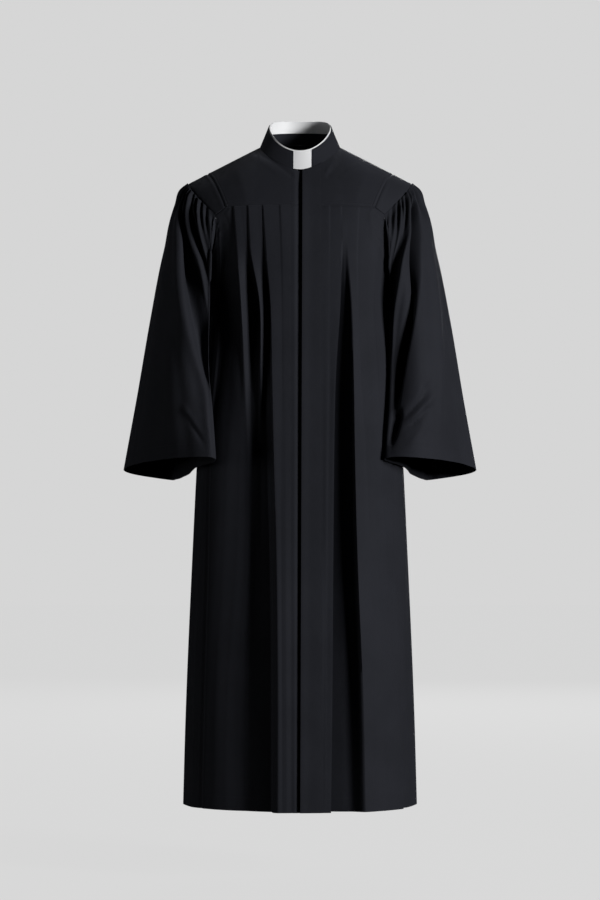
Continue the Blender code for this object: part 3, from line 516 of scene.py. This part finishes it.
def cap_foot(share, back):
    """x and height of the shoulder piece's lower edge, from the yoke's corner to the tip."""
    inner_x, inner_turn = cap_edge(1.0, back, False)
    outer_x, outer_turn = cap_edge(1.0, back, True)
    x = mix(inner_x, outer_x, share)
    return x, shoulder(x, mix(inner_turn, outer_turn, share), back)[:, 2]


def lengths(grid, axis):
    """Distance along the rows or columns of a grid, from its first point."""
    steps = np.diff(grid, axis=axis, prepend=np.take(grid, [0], axis))
    return np.cumsum(np.linalg.norm(steps, axis=-1), axis)


def from_last(grid, axis):
    """Distance of a grid's points from its last row or column."""
    run = lengths(grid, axis)
    return np.take(run, [-1], axis=axis) - run


def add_object(name, data):
    made = bpy.data.objects.new(name, data)
    bpy.context.collection.objects.link(made)
    return made


def add_mesh(name, corners, faces, finish):
    mesh = bpy.data.meshes.new(name)
    mesh.from_pydata(corners.tolist(), [], faces.tolist())
    mesh.materials.append(finish)
    mesh.validate()
    return add_object(name, mesh)


def add_wall(name, outer, inner, finish, closed=False):
    """One closed cloth piece between two grids of points with the same rows and columns."""
    rows, columns = outer.shape[:2]
    loop = np.concatenate([outer, inner[::-1]])  # down the outside and up the inside
    a = np.arange(2 * rows * columns).reshape(2 * rows, columns)
    below = np.roll(a, -1, axis=0)
    sheet = np.stack([a, below, np.roll(below, -1, axis=1), np.roll(a, -1, axis=1)], -1)
    faces = [sheet if closed else sheet[:, :-1]]
    if not closed:
        k = np.arange(rows - 1)
        rim = np.stack([a[k + 1], a[k], a[-1 - k], a[-2 - k]], -1)
        faces += [rim[:, 0], rim[:, -1, ::-1]]
    faces = np.concatenate([part.reshape(-1, 4) for part in faces])
    facing = np.cross(outer[:-1, :-1] - outer[1:, 1:], outer[1:, :-1] - outer[:-1, 1:])
    if np.sum(facing * (outer - inner)[:-1, :-1]) > 0:
        faces = faces[:, ::-1]
    made = add_mesh(name, loop.reshape(-1, 3), faces, finish)
    flat = np.stack([lengths(outer, 1), lengths(outer, 0)], -1)
    flat = np.concatenate([flat, flat[::-1]]).reshape(-1, 2)[faces.ravel()]
    made.data.uv_layers.new(name="cloth").data.foreach_set("uv", flat.ravel())
    made.data.shade_smooth()
    made.data.set_sharp_from_angle(angle=math.radians(60))
    return made


def flip(grid, side):
    """Mirror a piece's points to the wearer's right when side is -1."""
    return [g * (side, 1, 1) for g in grid]


def between(stops, widest):
    """Values between the stops, evenly spaced in each stretch, no further apart than widest."""
    values = [stops[0]]
    for a, b in zip(stops, stops[1:]):
        n = max(2, math.ceil((b - a) / widest))
        values += [a + (b - a) * (i + 1) / n for i in range(n)]
    return np.array(values)


def paced(a, b, c, first, rest):
    """Values from a to c, in even steps to b and in others from there."""
    return np.concatenate([np.linspace(a, b, first + 1), np.linspace(b, c, rest + 1)[1:]])


def lap(x):
    """Depth of the right front where it passes under the left, at signed place x."""
    return -(CLOTH + GAP + EDGE_SINK) * ease((LAP_END - x) / LAP_END)


def edge_lift(x, edge):
    """How far the left front's free edge stands off the cloth under it."""
    return EDGE_LIFT * bell((x - edge) / EDGE_ROLL)


def yoke_edge_lift(x):
    """The same on the yoke, from nothing at the neckline."""
    down = np.linspace(0, 1, len(x))[:, None]
    return edge_lift(x, x[:, :1]) * ease(down * 2)


def lapped(kind, relief, x, width, lift):
    """Relief of a piece, flat beside a front's middle edge, with the lap or the lifted edge."""
    if kind == "front_right":
        return relief * ease(x / LAP_SMOOTH) + lap(x)
    if kind == "front_left":
        return relief * ease((x - EDGE_X - PLACKET) / width) + lift
    return relief


def seam_dip(away, stitched=False):
    """Relief of the pressed cloth beside a seam, and of the topstitching next to it."""
    relief = 0
    for height, place, width in SEAM_PRESS[:3 if stitched else 2]:
        relief = relief + height * bell((away - place) / width)
    return relief


def soft_folds(relief, folds, points):
    """Add the folds of a table to a relief, at points of the smooth form."""
    for stations, height, width in folds:
        relief = relief + height / 1000 * bell(streak(stations, points) * 1000 / width)
    return relief


def streak(stations, points):
    """Distance of points, seen from the front, from a line given in millimetres."""
    spot = points[..., 0] + 1j * points[..., 2]
    away = 1.0
    for a, b in zip(stations, stations[1:]):
        start, run = complex(*a) / 1000, (complex(*b) - complex(*a)) / 1000
        share = np.clip(((spot - start) / run).real, 0, 1)
        away = np.minimum(away, np.abs(spot - start - share * run))
    return away


def seam_stops(kind):
    """Places along the yoke seam where the folds that the columns follow begin."""
    followed, _, _, first, _ = PANELS[kind]
    lines = [places[0] / 1000 for places, rises in LINES[kind][:followed]]
    return first + lines + [YOKE_LOW_HALF - GAP]


def panel_grid(kind):
    """Ring angles and heights of a body panel's points, from its top edge to the hem."""
    back = kind.startswith("back")
    followed, side, rows, _, hem_first = PANELS[kind]
    stops = seam_stops(kind)
    seam_x = between(stops, COLUMN_WIDTH)
    share = np.linspace(0, 1, side + 1)
    arm_angle, arm_z = armhole(share)
    shift = GAP / ARM_RADIUS * np.cos(share * math.pi / 2) * ease(share * 5 - 1)
    foot_x, foot_z = cap_foot(np.linspace(0, 1, FOOT_COLUMNS + 2)[1:-1], back)
    top_z = np.concatenate([yoke_seam(seam_x) - GAP / 2, foot_z - GAP, arm_z - GAP])
    arm_top = np.concatenate([angle_of(foot_x, foot_z - GAP), arm_angle - shift])
    rest = np.linspace(0, 1, rows - SEAM_ROWS + 1)[1:] ** 1.15
    down = np.concatenate([np.linspace(0, SEAM_SHARE, SEAM_ROWS + 1), mix(SEAM_SHARE, 1, rest)])
    down = down[:, None]
    z = mix(top_z, HEM_Z, down)
    seam_z = z[:, :len(seam_x)]
    guides = [angle_of(mix(a, b, down), seam_z) for a, b in zip(stops, hem_first)]
    guides += [angle_of(curve(LINE_LEVELS, places, seam_z) / 1000, seam_z)
               for places, rises in LINES[kind][:followed]]
    corner = angle_of(stops[-1], yoke_seam(stops[-1]))
    corner_hem = angle_of(HEM_CORNER_X, HEM_Z)
    guides = np.array(guides + [mix(corner, corner_hem, down) + 0 * seam_z])
    stops = np.array(stops)
    i = np.clip(np.searchsorted(stops, seam_x, side="right") - 1, 0, len(stops) - 2)
    share = (seam_x - stops[i]) / (stops[i + 1] - stops[i])
    column = np.arange(len(seam_x))
    seam_angle = mix(guides[i, :, column].T, guides[i + 1, :, column].T, share)
    seam_angle[0] = angle_of(seam_x, seam_z[0])
    arm_hem = np.linspace(corner_hem, math.pi / 2, FOOT_COLUMNS + side + 2)[1:]
    return np.concatenate([seam_angle, mix(arm_top, arm_hem, down)], axis=1), z


def panel_surface(kind, angle, z, lift=0.0, phase=0.0):
    """Outer and inner points of a body panel."""
    back = kind.startswith("back")
    base = torso(angle, z, back)
    normal = torso_normal(angle, z, back)
    x = base[..., 0]
    loose = ease((YOKE_Z - z) / 0.30)
    relief = fold_relief(kind, angle, z) + UNEVEN * loose * drift(arc(angle, z), z, phase)
    relief = side_relief(relief, angle, z) + seam_dip(lengths(base, 0))
    relief = soft_folds(relief, WRINKLES.get(kind, ()), base)
    relief = lapped(kind, relief, x, PANEL_SMOOTH, edge_lift(x, x[:, :1]))
    outer = base + normal * (relief + lift)[..., None]
    return outer, outer - normal * CLOTH


def uncovered(run, side):
    """The part of a run of stitches that the left front and its placket leave open."""
    points, normals = run
    shows = points[:, 0] * side > (EDGE_X + PLACKET if side > 0 else 0)
    return points[shows], normals[shows]


def front_panels(finish, sewn):
    made = []
    for kind, side, phase in (("front_left", 1, 0.7), ("front_right", -1, 2.9)):
        grid = flip(panel_surface(kind, *panel_grid(kind), phase=phase), side)
        made.append(add_wall(kind + "_cloth", *grid, finish))
        sewn.append(uncovered(inset(grid, HEM_STITCH), side))
        if side < 0:
            sewn.append(inset(grid, LAP_STITCH, 1, True))
    return made


def joined(left, right):
    """One piece from two halves that share the middle column; the right one is still unmirrored."""
    return [np.concatenate([r[:, :0:-1], g], axis=1) for r, g in zip(flip(right, -1), left)]


def back_panel(finish, sewn):
    whole = joined(*[panel_surface(kind, *panel_grid(kind), phase=1.3)
                     for kind in ("back", "back_right")])
    sewn.append(inset(whole, HEM_STITCH))
    return add_wall("back_cloth", *whole, finish)


def yoke_grid(kind, back):
    """x and turn of a yoke half, from the middle to the side seam, top row first."""
    stops = seam_stops(kind)
    near = stops[-1] - 0.010
    low_x = between(stops[:-1] + [near], COLUMN_WIDTH * 1.6)
    low_x = np.concatenate([low_x, np.linspace(near, stops[-1], 15)[1:]])
    low_turn = turn_at(low_x, yoke_seam(low_x) + GAP / 2, back)
    spread = (low_x - NECK_BEND) / (NECK_SEAM_X - NECK_BEND)
    reach = np.where(low_x > NECK_BEND, mix(NECK_BEND, NECK_HALF - 0.0005, spread), low_x)
    around = np.arcsin(np.clip(reach / NECK_HALF, -1, 1))
    neck_x, _, neck_z = neckline(math.pi - around if back else around).T
    in_neck = low_x < NECK_SEAM_X
    share = (low_x - NECK_SEAM_X) / (YOKE_LOW_HALF - GAP - NECK_SEAM_X)
    top_x = np.where(in_neck, neck_x, mix(NECK_HALF, YOKE_TOP_HALF - GAP, share))
    top_turn = np.where(in_neck, turn_at(neck_x, neck_z - GAP / 2, back), 0.0)
    down = paced(0, 0.92, 1, 39, 15)[:, None]
    return mix(top_x, low_x, down ** 1.5), mix(top_turn, low_turn, down)


def yoke_surface(x, turn, back, relief):
    base = shoulder(x, turn, back)
    normal = shoulder_normal(x, turn, back)
    outer = base + normal * relief[..., None]
    return outer, outer - normal * CLOTH


def yokes(finish, sewn):
    made = []
    for kind, side in (("front_left", 1), ("front_right", -1), ("back", 0)):
        back = kind == "back"
        x, turn = yoke_grid(kind, back)
        base = shoulder(x, turn, back)
        relief = seam_dip(from_last(base, 0), True) + seam_dip(from_last(base, 1), True)
        relief = soft_folds(relief, YOKE_FOLDS.get(kind, ()), base)
        relief = lapped(kind, relief, x, YOKE_SMOOTH, yoke_edge_lift(x))
        half = yoke_surface(x, turn, back, relief)
        grid = joined(half, half) if back else flip(half, side)
        run = inset(grid, STITCH_IN)
        sewn += [run if back else uncovered(run, side), inset(grid, STITCH_IN, 1)]
        if side < 1:
            sewn.append(inset(grid, STITCH_IN if back else LAP_STITCH, 1, True))
        name = "back_yoke_cloth" if back else kind.replace("front", "front_yoke") + "_cloth"
        made.append(add_wall(name, *grid, finish))
    return made


def cap_half(back):
    share = np.linspace(0, 1, CAP_COLUMNS // 2 + 1)
    inner_x, inner_turn = cap_edge(share, back, False)
    outer_x, outer_turn = cap_edge(share, back, True)
    across = paced(0, 0.25, 1, 13, 14)[:, None]
    x = mix(inner_x, outer_x - GAP, across)
    turn = mix(inner_turn, outer_turn, across)
    base = shoulder(x, turn, back)
    relief = seam_dip(lengths(base, 0)) - 0.0008 * bell(from_last(base, 0) / 0.002)
    return yoke_surface(x, turn, back, relief)


def shoulder_caps(finish):
    whole = [np.concatenate([f[:, ::-1], b[:, 1:]], axis=1)
             for f, b in zip(cap_half(False), cap_half(True))]
    return [add_wall("shoulder_cap_" + which + "_cloth", *flip(whole, side), finish)
            for which, side in SIDES]


def inset(grid, distance, axis=0, first=False):
    """Points and outward normals at a distance in from a piece's last or first row or column."""
    grid = [g.swapaxes(0, 1) if axis else g for g in grid]
    outer, inner = [g[::-1] if first else g for g in grid]
    run = lengths(outer, 0)
    points, normals = [], []
    for c in range(outer.shape[1]):
        at = run[-1, c] - distance
        both = [[np.interp(at, run[:, c], g[:, c, k]) for k in range(3)] for g in (outer, inner)]
        points.append(both[0])
        normals.append(np.subtract(*both))
    return np.array(points), unit(np.array(normals))


def stitches(name, runs, finish):
    """Topstitching: short threads, each a slim six-cornered bead, along runs of points."""
    corners, faces = [], []
    for points, normals in runs:
        along = lengths(points[None], 1)[0]
        starts = np.arange(PITCH, along[-1] - PITCH, PITCH)
        start, end, up = [
            np.stack([np.interp(starts + shift, along, values[:, k]) for k in range(3)], -1)
            for shift, values in ((0, points), (THREAD, points), (THREAD / 2, normals))]
        up = unit(up) * THREAD / 8
        side = unit(np.cross(end - start, up)) * THREAD / 8
        middle = (start + end) / 2
        bead = [start, end, middle + side, middle - side, middle + up, middle - up]
        base = sum(len(c) for c in corners) + np.arange(len(starts))[:, None] * len(bead)
        corners.append(np.stack(bead, 1).reshape(-1, 3))
        faces += [base + np.array(triangle) for triangle in BEAD]
    return add_mesh(name, np.concatenate(corners), np.concatenate(faces), finish)


def placket(finish, sewn):
    """Strip on the left front's edge, made from the points under it, moved out."""
    lift = PLACKET_OVER + CLOTH
    far = EDGE_X + PLACKET + STEP
    x, turn = yoke_grid("front_left", False)
    columns = int(np.sum(x[-1] < far))
    x, turn = x[:, :columns], turn[:, :columns]
    upper = yoke_surface(x, turn, False, lift + yoke_edge_lift(x))
    last = int(np.sum(between(seam_stops("front_left"), COLUMN_WIDTH) < far))
    strip = [mix(values[:, :1], values[:, last - 1:last], np.linspace(0, 1, columns))
             for values in panel_grid("front_left")]
    lower = panel_surface("front_left", *strip, lift)
    grid = [np.concatenate([u, low[1:]], axis=0) for u, low in zip(upper, lower)]
    sewn.append(inset(grid, EDGE_STITCH, 1))
    return add_wall("front_placket_cloth", *grid, finish)


def arm_loop():
    """Points, directions and places of the sleeve seam, round the whole armhole."""
    share = np.linspace(0, 1, CAP_COLUMNS + 1)
    low = np.linspace(0, 1, ARM_COLUMNS + 1)[1:]
    halves = []
    for back in (False, True):
        cap, arm = cap_edge(share, back, True), armhole(low)
        place = np.concatenate([share * 90, 90 + low * 90])
        halves.append((
            np.concatenate([shoulder(*cap, back), torso(*arm, back)]),
            np.concatenate([shoulder_normal(*cap, back), torso_normal(*arm, back)]),
            360 - place if back else place))
    return [np.concatenate([front, behind[-2:0:-1]]) for front, behind in zip(*halves)]


def loop_through(outer, front, inner, back, place):
    """Smooth ring through four points, at places in radians from the outer one."""
    c1, s1 = (outer - inner) / 2, (front - back) / 2
    even, odd = (outer + inner) / 2, (front + back) / 2
    c0, c2 = (even + odd) / 2, (even - odd) / 2
    turn = place[..., None]
    return c0 + c1 * np.cos(turn) + s1 * np.sin(turn) + c2 * np.cos(2 * turn)


def cuff_place(place):
    """Where the cloth from each place of the head arrives at the cuff."""
    half = np.minimum(place, 360 - place)
    moved = np.interp(half, [0, 90, 180], [0, 100, 180])
    return np.where(place <= 180, moved, 360 - moved)


def body_half_at(x, y, z):
    """Half width of the body's smooth form at y, nought in front of it and behind it."""
    depth = np.where(y < SHOULDER_Y, *[depth_at(z, back) * swell(x, z, back)
                                       for back in (False, True)])
    return level("half", z) * section(np.abs(y - SHOULDER_Y) / np.maximum(depth, STEP), z)


def sleeve_arc(angle, v):
    """Distance in millimetres round a sleeve that an angle stands for."""
    return angle * mix(*SLEEVE_RADII, v)


def hollow_depth(angle, v):
    """How far the right sleeve's cloth falls back beside its front edge."""
    place = np.radians(curve(HOLLOW["v"], HOLLOW["place"], v))
    away = sleeve_arc(angle - place, v) / 1000
    width = np.where(away < 0, HOLLOW_OUTER, HOLLOW_INNER)
    return curve(HOLLOW["v"], HOLLOW["depth"], v) * bell(away / width)


def gather_relief(which, degrees, v):
    """Height of the gathers that fan out of a sleeve's seam, front and back."""
    relief = np.zeros_like(degrees)
    for place, travel, reach, height, width in GATHERS[which]:
        for back in (False, True):
            turned = 360 - degrees if back else degrees
            centre = place + travel * (v / reach) ** 0.8
            s = sleeve_arc(np.radians(turned - centre), v)
            wide = width * (1 + 1.1 * v / reach)
            crest = np.exp(-np.abs(s / wide) ** 1.6)
            groove = np.exp(-np.abs((s + 1.75 * wide) / (0.62 * wide)) ** 1.7)
            size = (0.45 + 0.55 * ease(v / 0.03)) * (1 - ease((v / reach - 0.3) / 0.7))
            relief += height / 1000 * size * (crest - 0.95 * groove) * (0.9 if back else 1.0)
    return relief


def sleeve_relief(which, degrees, v):
    """Height of a sleeve's gathers, long folds and wrinkles."""
    relief = gather_relief(which, degrees, v)
    for stations, height, low, high in SLEEVE_FOLDS[which]:
        down, places = zip(*stations)
        run = down[-1] - down[0]
        away = (degrees - curve(down, places, v) + 180) % 360 - 180
        s = sleeve_arc(np.radians(away), v)
        grow = min(run / 4, 0.08)
        start = 0.45 + 0.55 * ease(v / 0.05) if down[0] == 0 else ease((v - down[0]) / grow)
        end = ease((down[-1] - v) / run * 2.4)
        relief += height / 1000 * start * end * bell(s / np.where(s < 0, low, high))
    return relief


def sleeve_surface(which):
    """Outer and inner points of a sleeve, from the armhole to the cuff."""
    points, normals, place = arm_loop()
    v = np.linspace(0, 1, SLEEVE_ROWS + 1)[:, None] ** 1.25
    angle = np.radians(mix(place, cuff_place(place), ease(v)))
    smooth = loop_through(*[curve(SLEEVE_V, rows, v) for rows in SLEEVE.values()], angle)
    quarter = np.sin(2 * np.clip(angle, 0, math.pi / 2)) ** 2
    smooth[..., 1] -= curve(SLEEVE_V, SLEEVE_FORWARD[which], v) * quarter
    edge = bell((np.degrees(angle) - FRONT_EDGE[0]) / FRONT_EDGE[1])
    smooth[..., 1] += curve(SLEEVE_V, SLEEVE_EDGE_BACK[which], v) * edge
    if which == "right":
        smooth[..., 1] += hollow_depth(angle, v)
    fade = (1 - ease(v / 0.30))[..., None]
    smooth = smooth + (points - smooth[0]) * fade
    room = smooth[..., 0] - body_half_at(*np.moveaxis(smooth, -1, 0))
    room -= mix(BODY_CLEAR / 3, BODY_CLEAR, ease(v / 0.25))
    clear = PUSH_ROUNDING * np.logaddexp(0, room / PUSH_ROUNDING)
    smooth[..., 0] += (clear - room) * np.clip(v / FIRST_CLEAR, 0, 1)
    half = np.minimum(place, 360 - place)
    own = ease((half - 60) / 30)[:, None]
    smooth[0] += normals * GAP * own
    around = np.roll(smooth, -1, axis=1) - np.roll(smooth, 1, axis=1)
    normal = unit(np.cross(around, np.gradient(smooth, axis=0)))
    normal[0] = unit(mix(normals, normal[1], own))
    relief = sleeve_relief(which, np.degrees(angle), v)
    relief *= 1 - bell((half - 90) / 9) * (1 - ease(v / 0.04))
    phase = 0.4 if which == "left" else 3.3
    relief += SLEEVE_UNEVEN * ease(v / 0.2) * drift(angle * 0.11, -v * 0.6, phase)
    outer = smooth + normal * relief[..., None]
    return outer, outer - normal * CLOTH


def sleeves(finish, sewn):
    made = []
    for which, side in SIDES:
        grid = flip(sleeve_surface(which), side)
        made.append(add_wall("sleeve_" + which + "_cloth", *grid, finish, closed=True))
        sewn.append([np.concatenate([run, run[:1]]) for run in inset(grid, HEM_STITCH)])
    return made


def face_normals(grid):
    """Outward normals of the collar."""
    normal = unit(np.cross(np.gradient(grid, axis=1), np.gradient(grid, axis=0)))
    middle = (0, (COLLAR_TOP_FRONT + COLLAR_TOP_BACK) / 2, 0)
    away = (grid - middle) * (1, 1, 0)
    return normal * np.sign(np.sum(normal * away, axis=-1, keepdims=True))


def collar(finish):
    """Stand collar, from one edge of the notch round the neck to the other."""
    low_turn, top_turn = [
        np.linspace(math.asin(NOTCH[1] / half), 2 * math.pi + math.asin(NOTCH[0] / half), 221)
        for half in (NECK_HALF, COLLAR_TOP_HALF)]
    share = np.linspace(0.003, 1.0, 25)[:, None, None]
    grid = mix(neckline(low_turn), collar_top(top_turn), share)
    return add_wall("collar_cloth", grid, grid - face_normals(grid) * CLOTH, finish)


def collar_insert(finish):
    """White band inside the collar; its tab fills the notch."""
    right, left = NOTCH[0] - TAB_MARGIN, NOTCH[1] + TAB_MARGIN
    tab = between([right, right + 0.001, left - 0.001, left], 0.0012)
    ends = math.asin(left / COLLAR_TOP_HALF), 2 * math.pi + math.asin(right / COLLAR_TOP_HALF)
    rest = np.linspace(*ends, 180)[1:-1]
    base = neckline(np.concatenate([np.arcsin(tab / NECK_HALF), rest]))
    top = collar_top(np.concatenate([np.arcsin(tab / COLLAR_TOP_HALF), rest]))
    low = np.full(len(base), 0.55)
    low[1:len(tab) - 1] = 0.05
    high = 1 + BAND_SHOWS / np.linalg.norm(top - base, axis=1)
    rows = np.linspace(0, 1, 17)[:, None]
    full = mix(base, top, rows[..., None])
    normal = face_normals(np.concatenate([full[:, -1:], full, full[:, :1]], axis=1))[:, 1:-1]
    outer = mix(base, top, mix(low, high, rows)[..., None]) - normal * (CLOTH + GAP)
    return add_wall("collar_insert_band", outer, outer - normal * BAND, finish, closed=True)


def material(name, values):
    """New material with the given values on its shader's sockets."""
    made = bpy.data.materials.new(name)
    made.use_nodes = True
    shader = made.node_tree.nodes["Principled BSDF"]
    for socket, value in values.items():
        shader.inputs[socket].default_value = value
    return made, made.node_tree, shader


def add_node(tree, kind, values, links):
    """New shader node with the given values on its sockets, and links into them."""
    made = tree.nodes.new("ShaderNode" + kind)
    for socket, value in values.items():
        made.inputs[socket].default_value = value
    for socket, source in links.items():
        tree.links.new(source, made.inputs[socket])
    return made


def noise(tree, scale, detail=2):
    place = tree.nodes.new("ShaderNodeTexCoord").outputs["Object"]
    return add_node(tree, "TexNoise", {"Scale": scale, "Detail": detail}, {"Vector": place})


def ramp(tree, source, low, high, start=0.0, end=1.0):
    """Colour that goes from low to high as the source's value goes from start to end."""
    made = add_node(tree, "ValToRGB", {}, {"Fac": source.outputs["Fac"]})
    for element, position, colour in zip(made.color_ramp.elements, (start, end), (low, high)):
        element.position = position
        element.color = colour + (1,)
    return made.outputs["Color"]


def bump(tree, source, strength, distance, links):
    values = {"Strength": strength, "Distance": distance}
    links = {"Height": source.outputs["Fac"], **links}
    return add_node(tree, "Bump", values, links).outputs["Normal"]


def robe_cloth():
    """Black worsted twill: fine diagonal ribs, a little dust and a soft sheen."""
    made, tree, shader = material("black_twill", {
        "Roughness": 0.78, "Sheen Weight": 0.10, "Sheen Roughness": 0.45,
        "Sheen Tint": (0.80, 0.85, 1.0, 1.0), "Specular IOR Level": 0.25,
        "Specular Tint": (0.82, 0.87, 1.0, 1.0)})
    tone = ramp(tree, noise(tree, 9, 4), (0.0098, 0.0102, 0.0135), (0.0138, 0.0143, 0.0188), 0.3, 0.7)
    shade = tree.nodes.new("ShaderNodeMix")
    shade.data_type = "RGBA"
    shade.blend_type = "MULTIPLY"
    shade.inputs["Factor"].default_value = 0.35
    tree.links.new(tone, shade.inputs["A"])
    tree.links.new(noise(tree, 900).outputs["Color"], shade.inputs["B"])
    tree.links.new(shade.outputs["Result"], shader.inputs["Base Color"])
    uv = tree.nodes.new("ShaderNodeUVMap")
    uv.uv_map = "cloth"
    slant = {"Rotation": (0, 0, math.radians(63))}
    turned = add_node(tree, "Mapping", slant, {"Vector": uv.outputs["UV"]})
    ribs = add_node(tree, "TexWave", {"Scale": 260, "Distortion": 0.6, "Detail": 1.0},
                    {"Vector": turned.outputs["Vector"]})
    crumple = bump(tree, noise(tree, 55, 3), 0.25, 0.002, {})
    normal = bump(tree, ribs, 0.35, 0.0004, {"Normal": crumple})
    tree.links.new(normal, shader.inputs["Normal"])
    return made


def thread():
    """Black sewing thread, a little smoother than the cloth."""
    made, tree, shader = material("black_thread", {"Roughness": 0.5, "Specular IOR Level": 0.3})
    tone = ramp(tree, noise(tree, 1500), (0.010, 0.010, 0.013), (0.022, 0.022, 0.027))
    tree.links.new(tone, shader.inputs["Base Color"])
    return made


def white_band():
    """Stiff white collar band with a faint linen grain."""
    made, tree, shader = material("white_band", {"Roughness": 0.45, "Sheen Weight": 0.1})
    grain = noise(tree, 700)
    tone = ramp(tree, grain, (0.80, 0.81, 0.82), (0.88, 0.88, 0.89))
    tree.links.new(tone, shader.inputs["Base Color"])
    tree.links.new(bump(tree, grain, 0.1, 0.0003, {}), shader.inputs["Normal"])
    return made


def enter(piece, node):
    """Give a piece of cloth its body and hide the solid that it stands for."""
    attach(piece, "root")
    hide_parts(node)


def stage():
    """Pale floor under a backdrop of the same tone."""
    pale = material("pale_floor", {
        "Base Color": (0.035, 0.035, 0.035, 1), "Roughness": 1.0, "Specular IOR Level": 0.0,
        "Emission Color": (0.668, 0.668, 0.668, 1), "Emission Strength": 1.0})[0]
    bpy.ops.mesh.primitive_circle_add(vertices=96, radius=14, fill_type="NGON",
                                      location=(0, 0, FLOOR_Z))
    floor = bpy.context.object
    floor.name = "floor"
    floor.data.materials.append(pale)
    floor.visible_diffuse = False
    floor.visible_glossy = False
    world = bpy.data.worlds.new("backdrop")
    world.use_nodes = True
    world.node_tree.nodes["Background"].inputs["Color"].default_value = (0.672, 0.672, 0.672, 1)
    world.cycles_visibility.diffuse = False
    world.cycles_visibility.glossy = False
    bpy.context.scene.world = world
    bpy.context.scene.view_settings.view_transform = "Standard"


def area_light(name, place, aim, size, power):
    data = bpy.data.lights.new(name, "AREA")
    data.shape = "SQUARE"
    data.size = size
    data.energy = power
    made = add_object(name, data)
    made.location = place
    away = made.location - Vector(aim)
    made.rotation_euler = away.to_track_quat("Z", "Y").to_euler()


def lights():
    area_light("key", (4.2, -3.4, 0.5), (0, 0, -0.6), 1.3, 325)
    area_light("fill", (-5.2, -0.7, -0.4), (0, 0, -0.7), 2.4, 34)
    area_light("top", (-0.4, 1.6, 2.6), (0, 0, -0.4), 1.8, 10)
    area_light("behind", (0.8, 6.0, 1.1), (0, 0, -0.7), 2.0, 220)


def camera():
    data = bpy.data.cameras.new("camera")
    data.sensor_fit = "VERTICAL"
    data.sensor_height = 36
    data.lens = data.sensor_height * CAMERA_AWAY / VIEW_HEIGHT
    made = add_object("camera", data)
    made.location = (0, -CAMERA_AWAY, CAMERA_Z)
    made.rotation_euler = (math.radians(90), 0, 0)
    bpy.context.scene.camera = made


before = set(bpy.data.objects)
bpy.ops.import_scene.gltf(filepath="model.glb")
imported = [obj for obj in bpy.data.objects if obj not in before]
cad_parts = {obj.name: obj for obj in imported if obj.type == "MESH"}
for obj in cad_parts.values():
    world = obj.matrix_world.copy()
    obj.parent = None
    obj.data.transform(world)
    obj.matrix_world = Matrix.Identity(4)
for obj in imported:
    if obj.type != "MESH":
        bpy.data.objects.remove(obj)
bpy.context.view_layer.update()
cloth = robe_cloth()
sewn = []  # runs of topstitching, filled in as the pieces are made
pieces = yokes(cloth, sewn) + shoulder_caps(cloth) + front_panels(cloth, sewn)
pieces += [back_panel(cloth, sewn), placket(cloth, sewn)] + sleeves(cloth, sewn) + [collar(cloth)]
for piece in pieces:
    enter(piece, piece.name.replace("_cloth", ""))
enter(collar_insert(white_band()), "collar_insert")
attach(stitches("topstitching", sewn, thread()), "root")
stage()
lights()
camera()
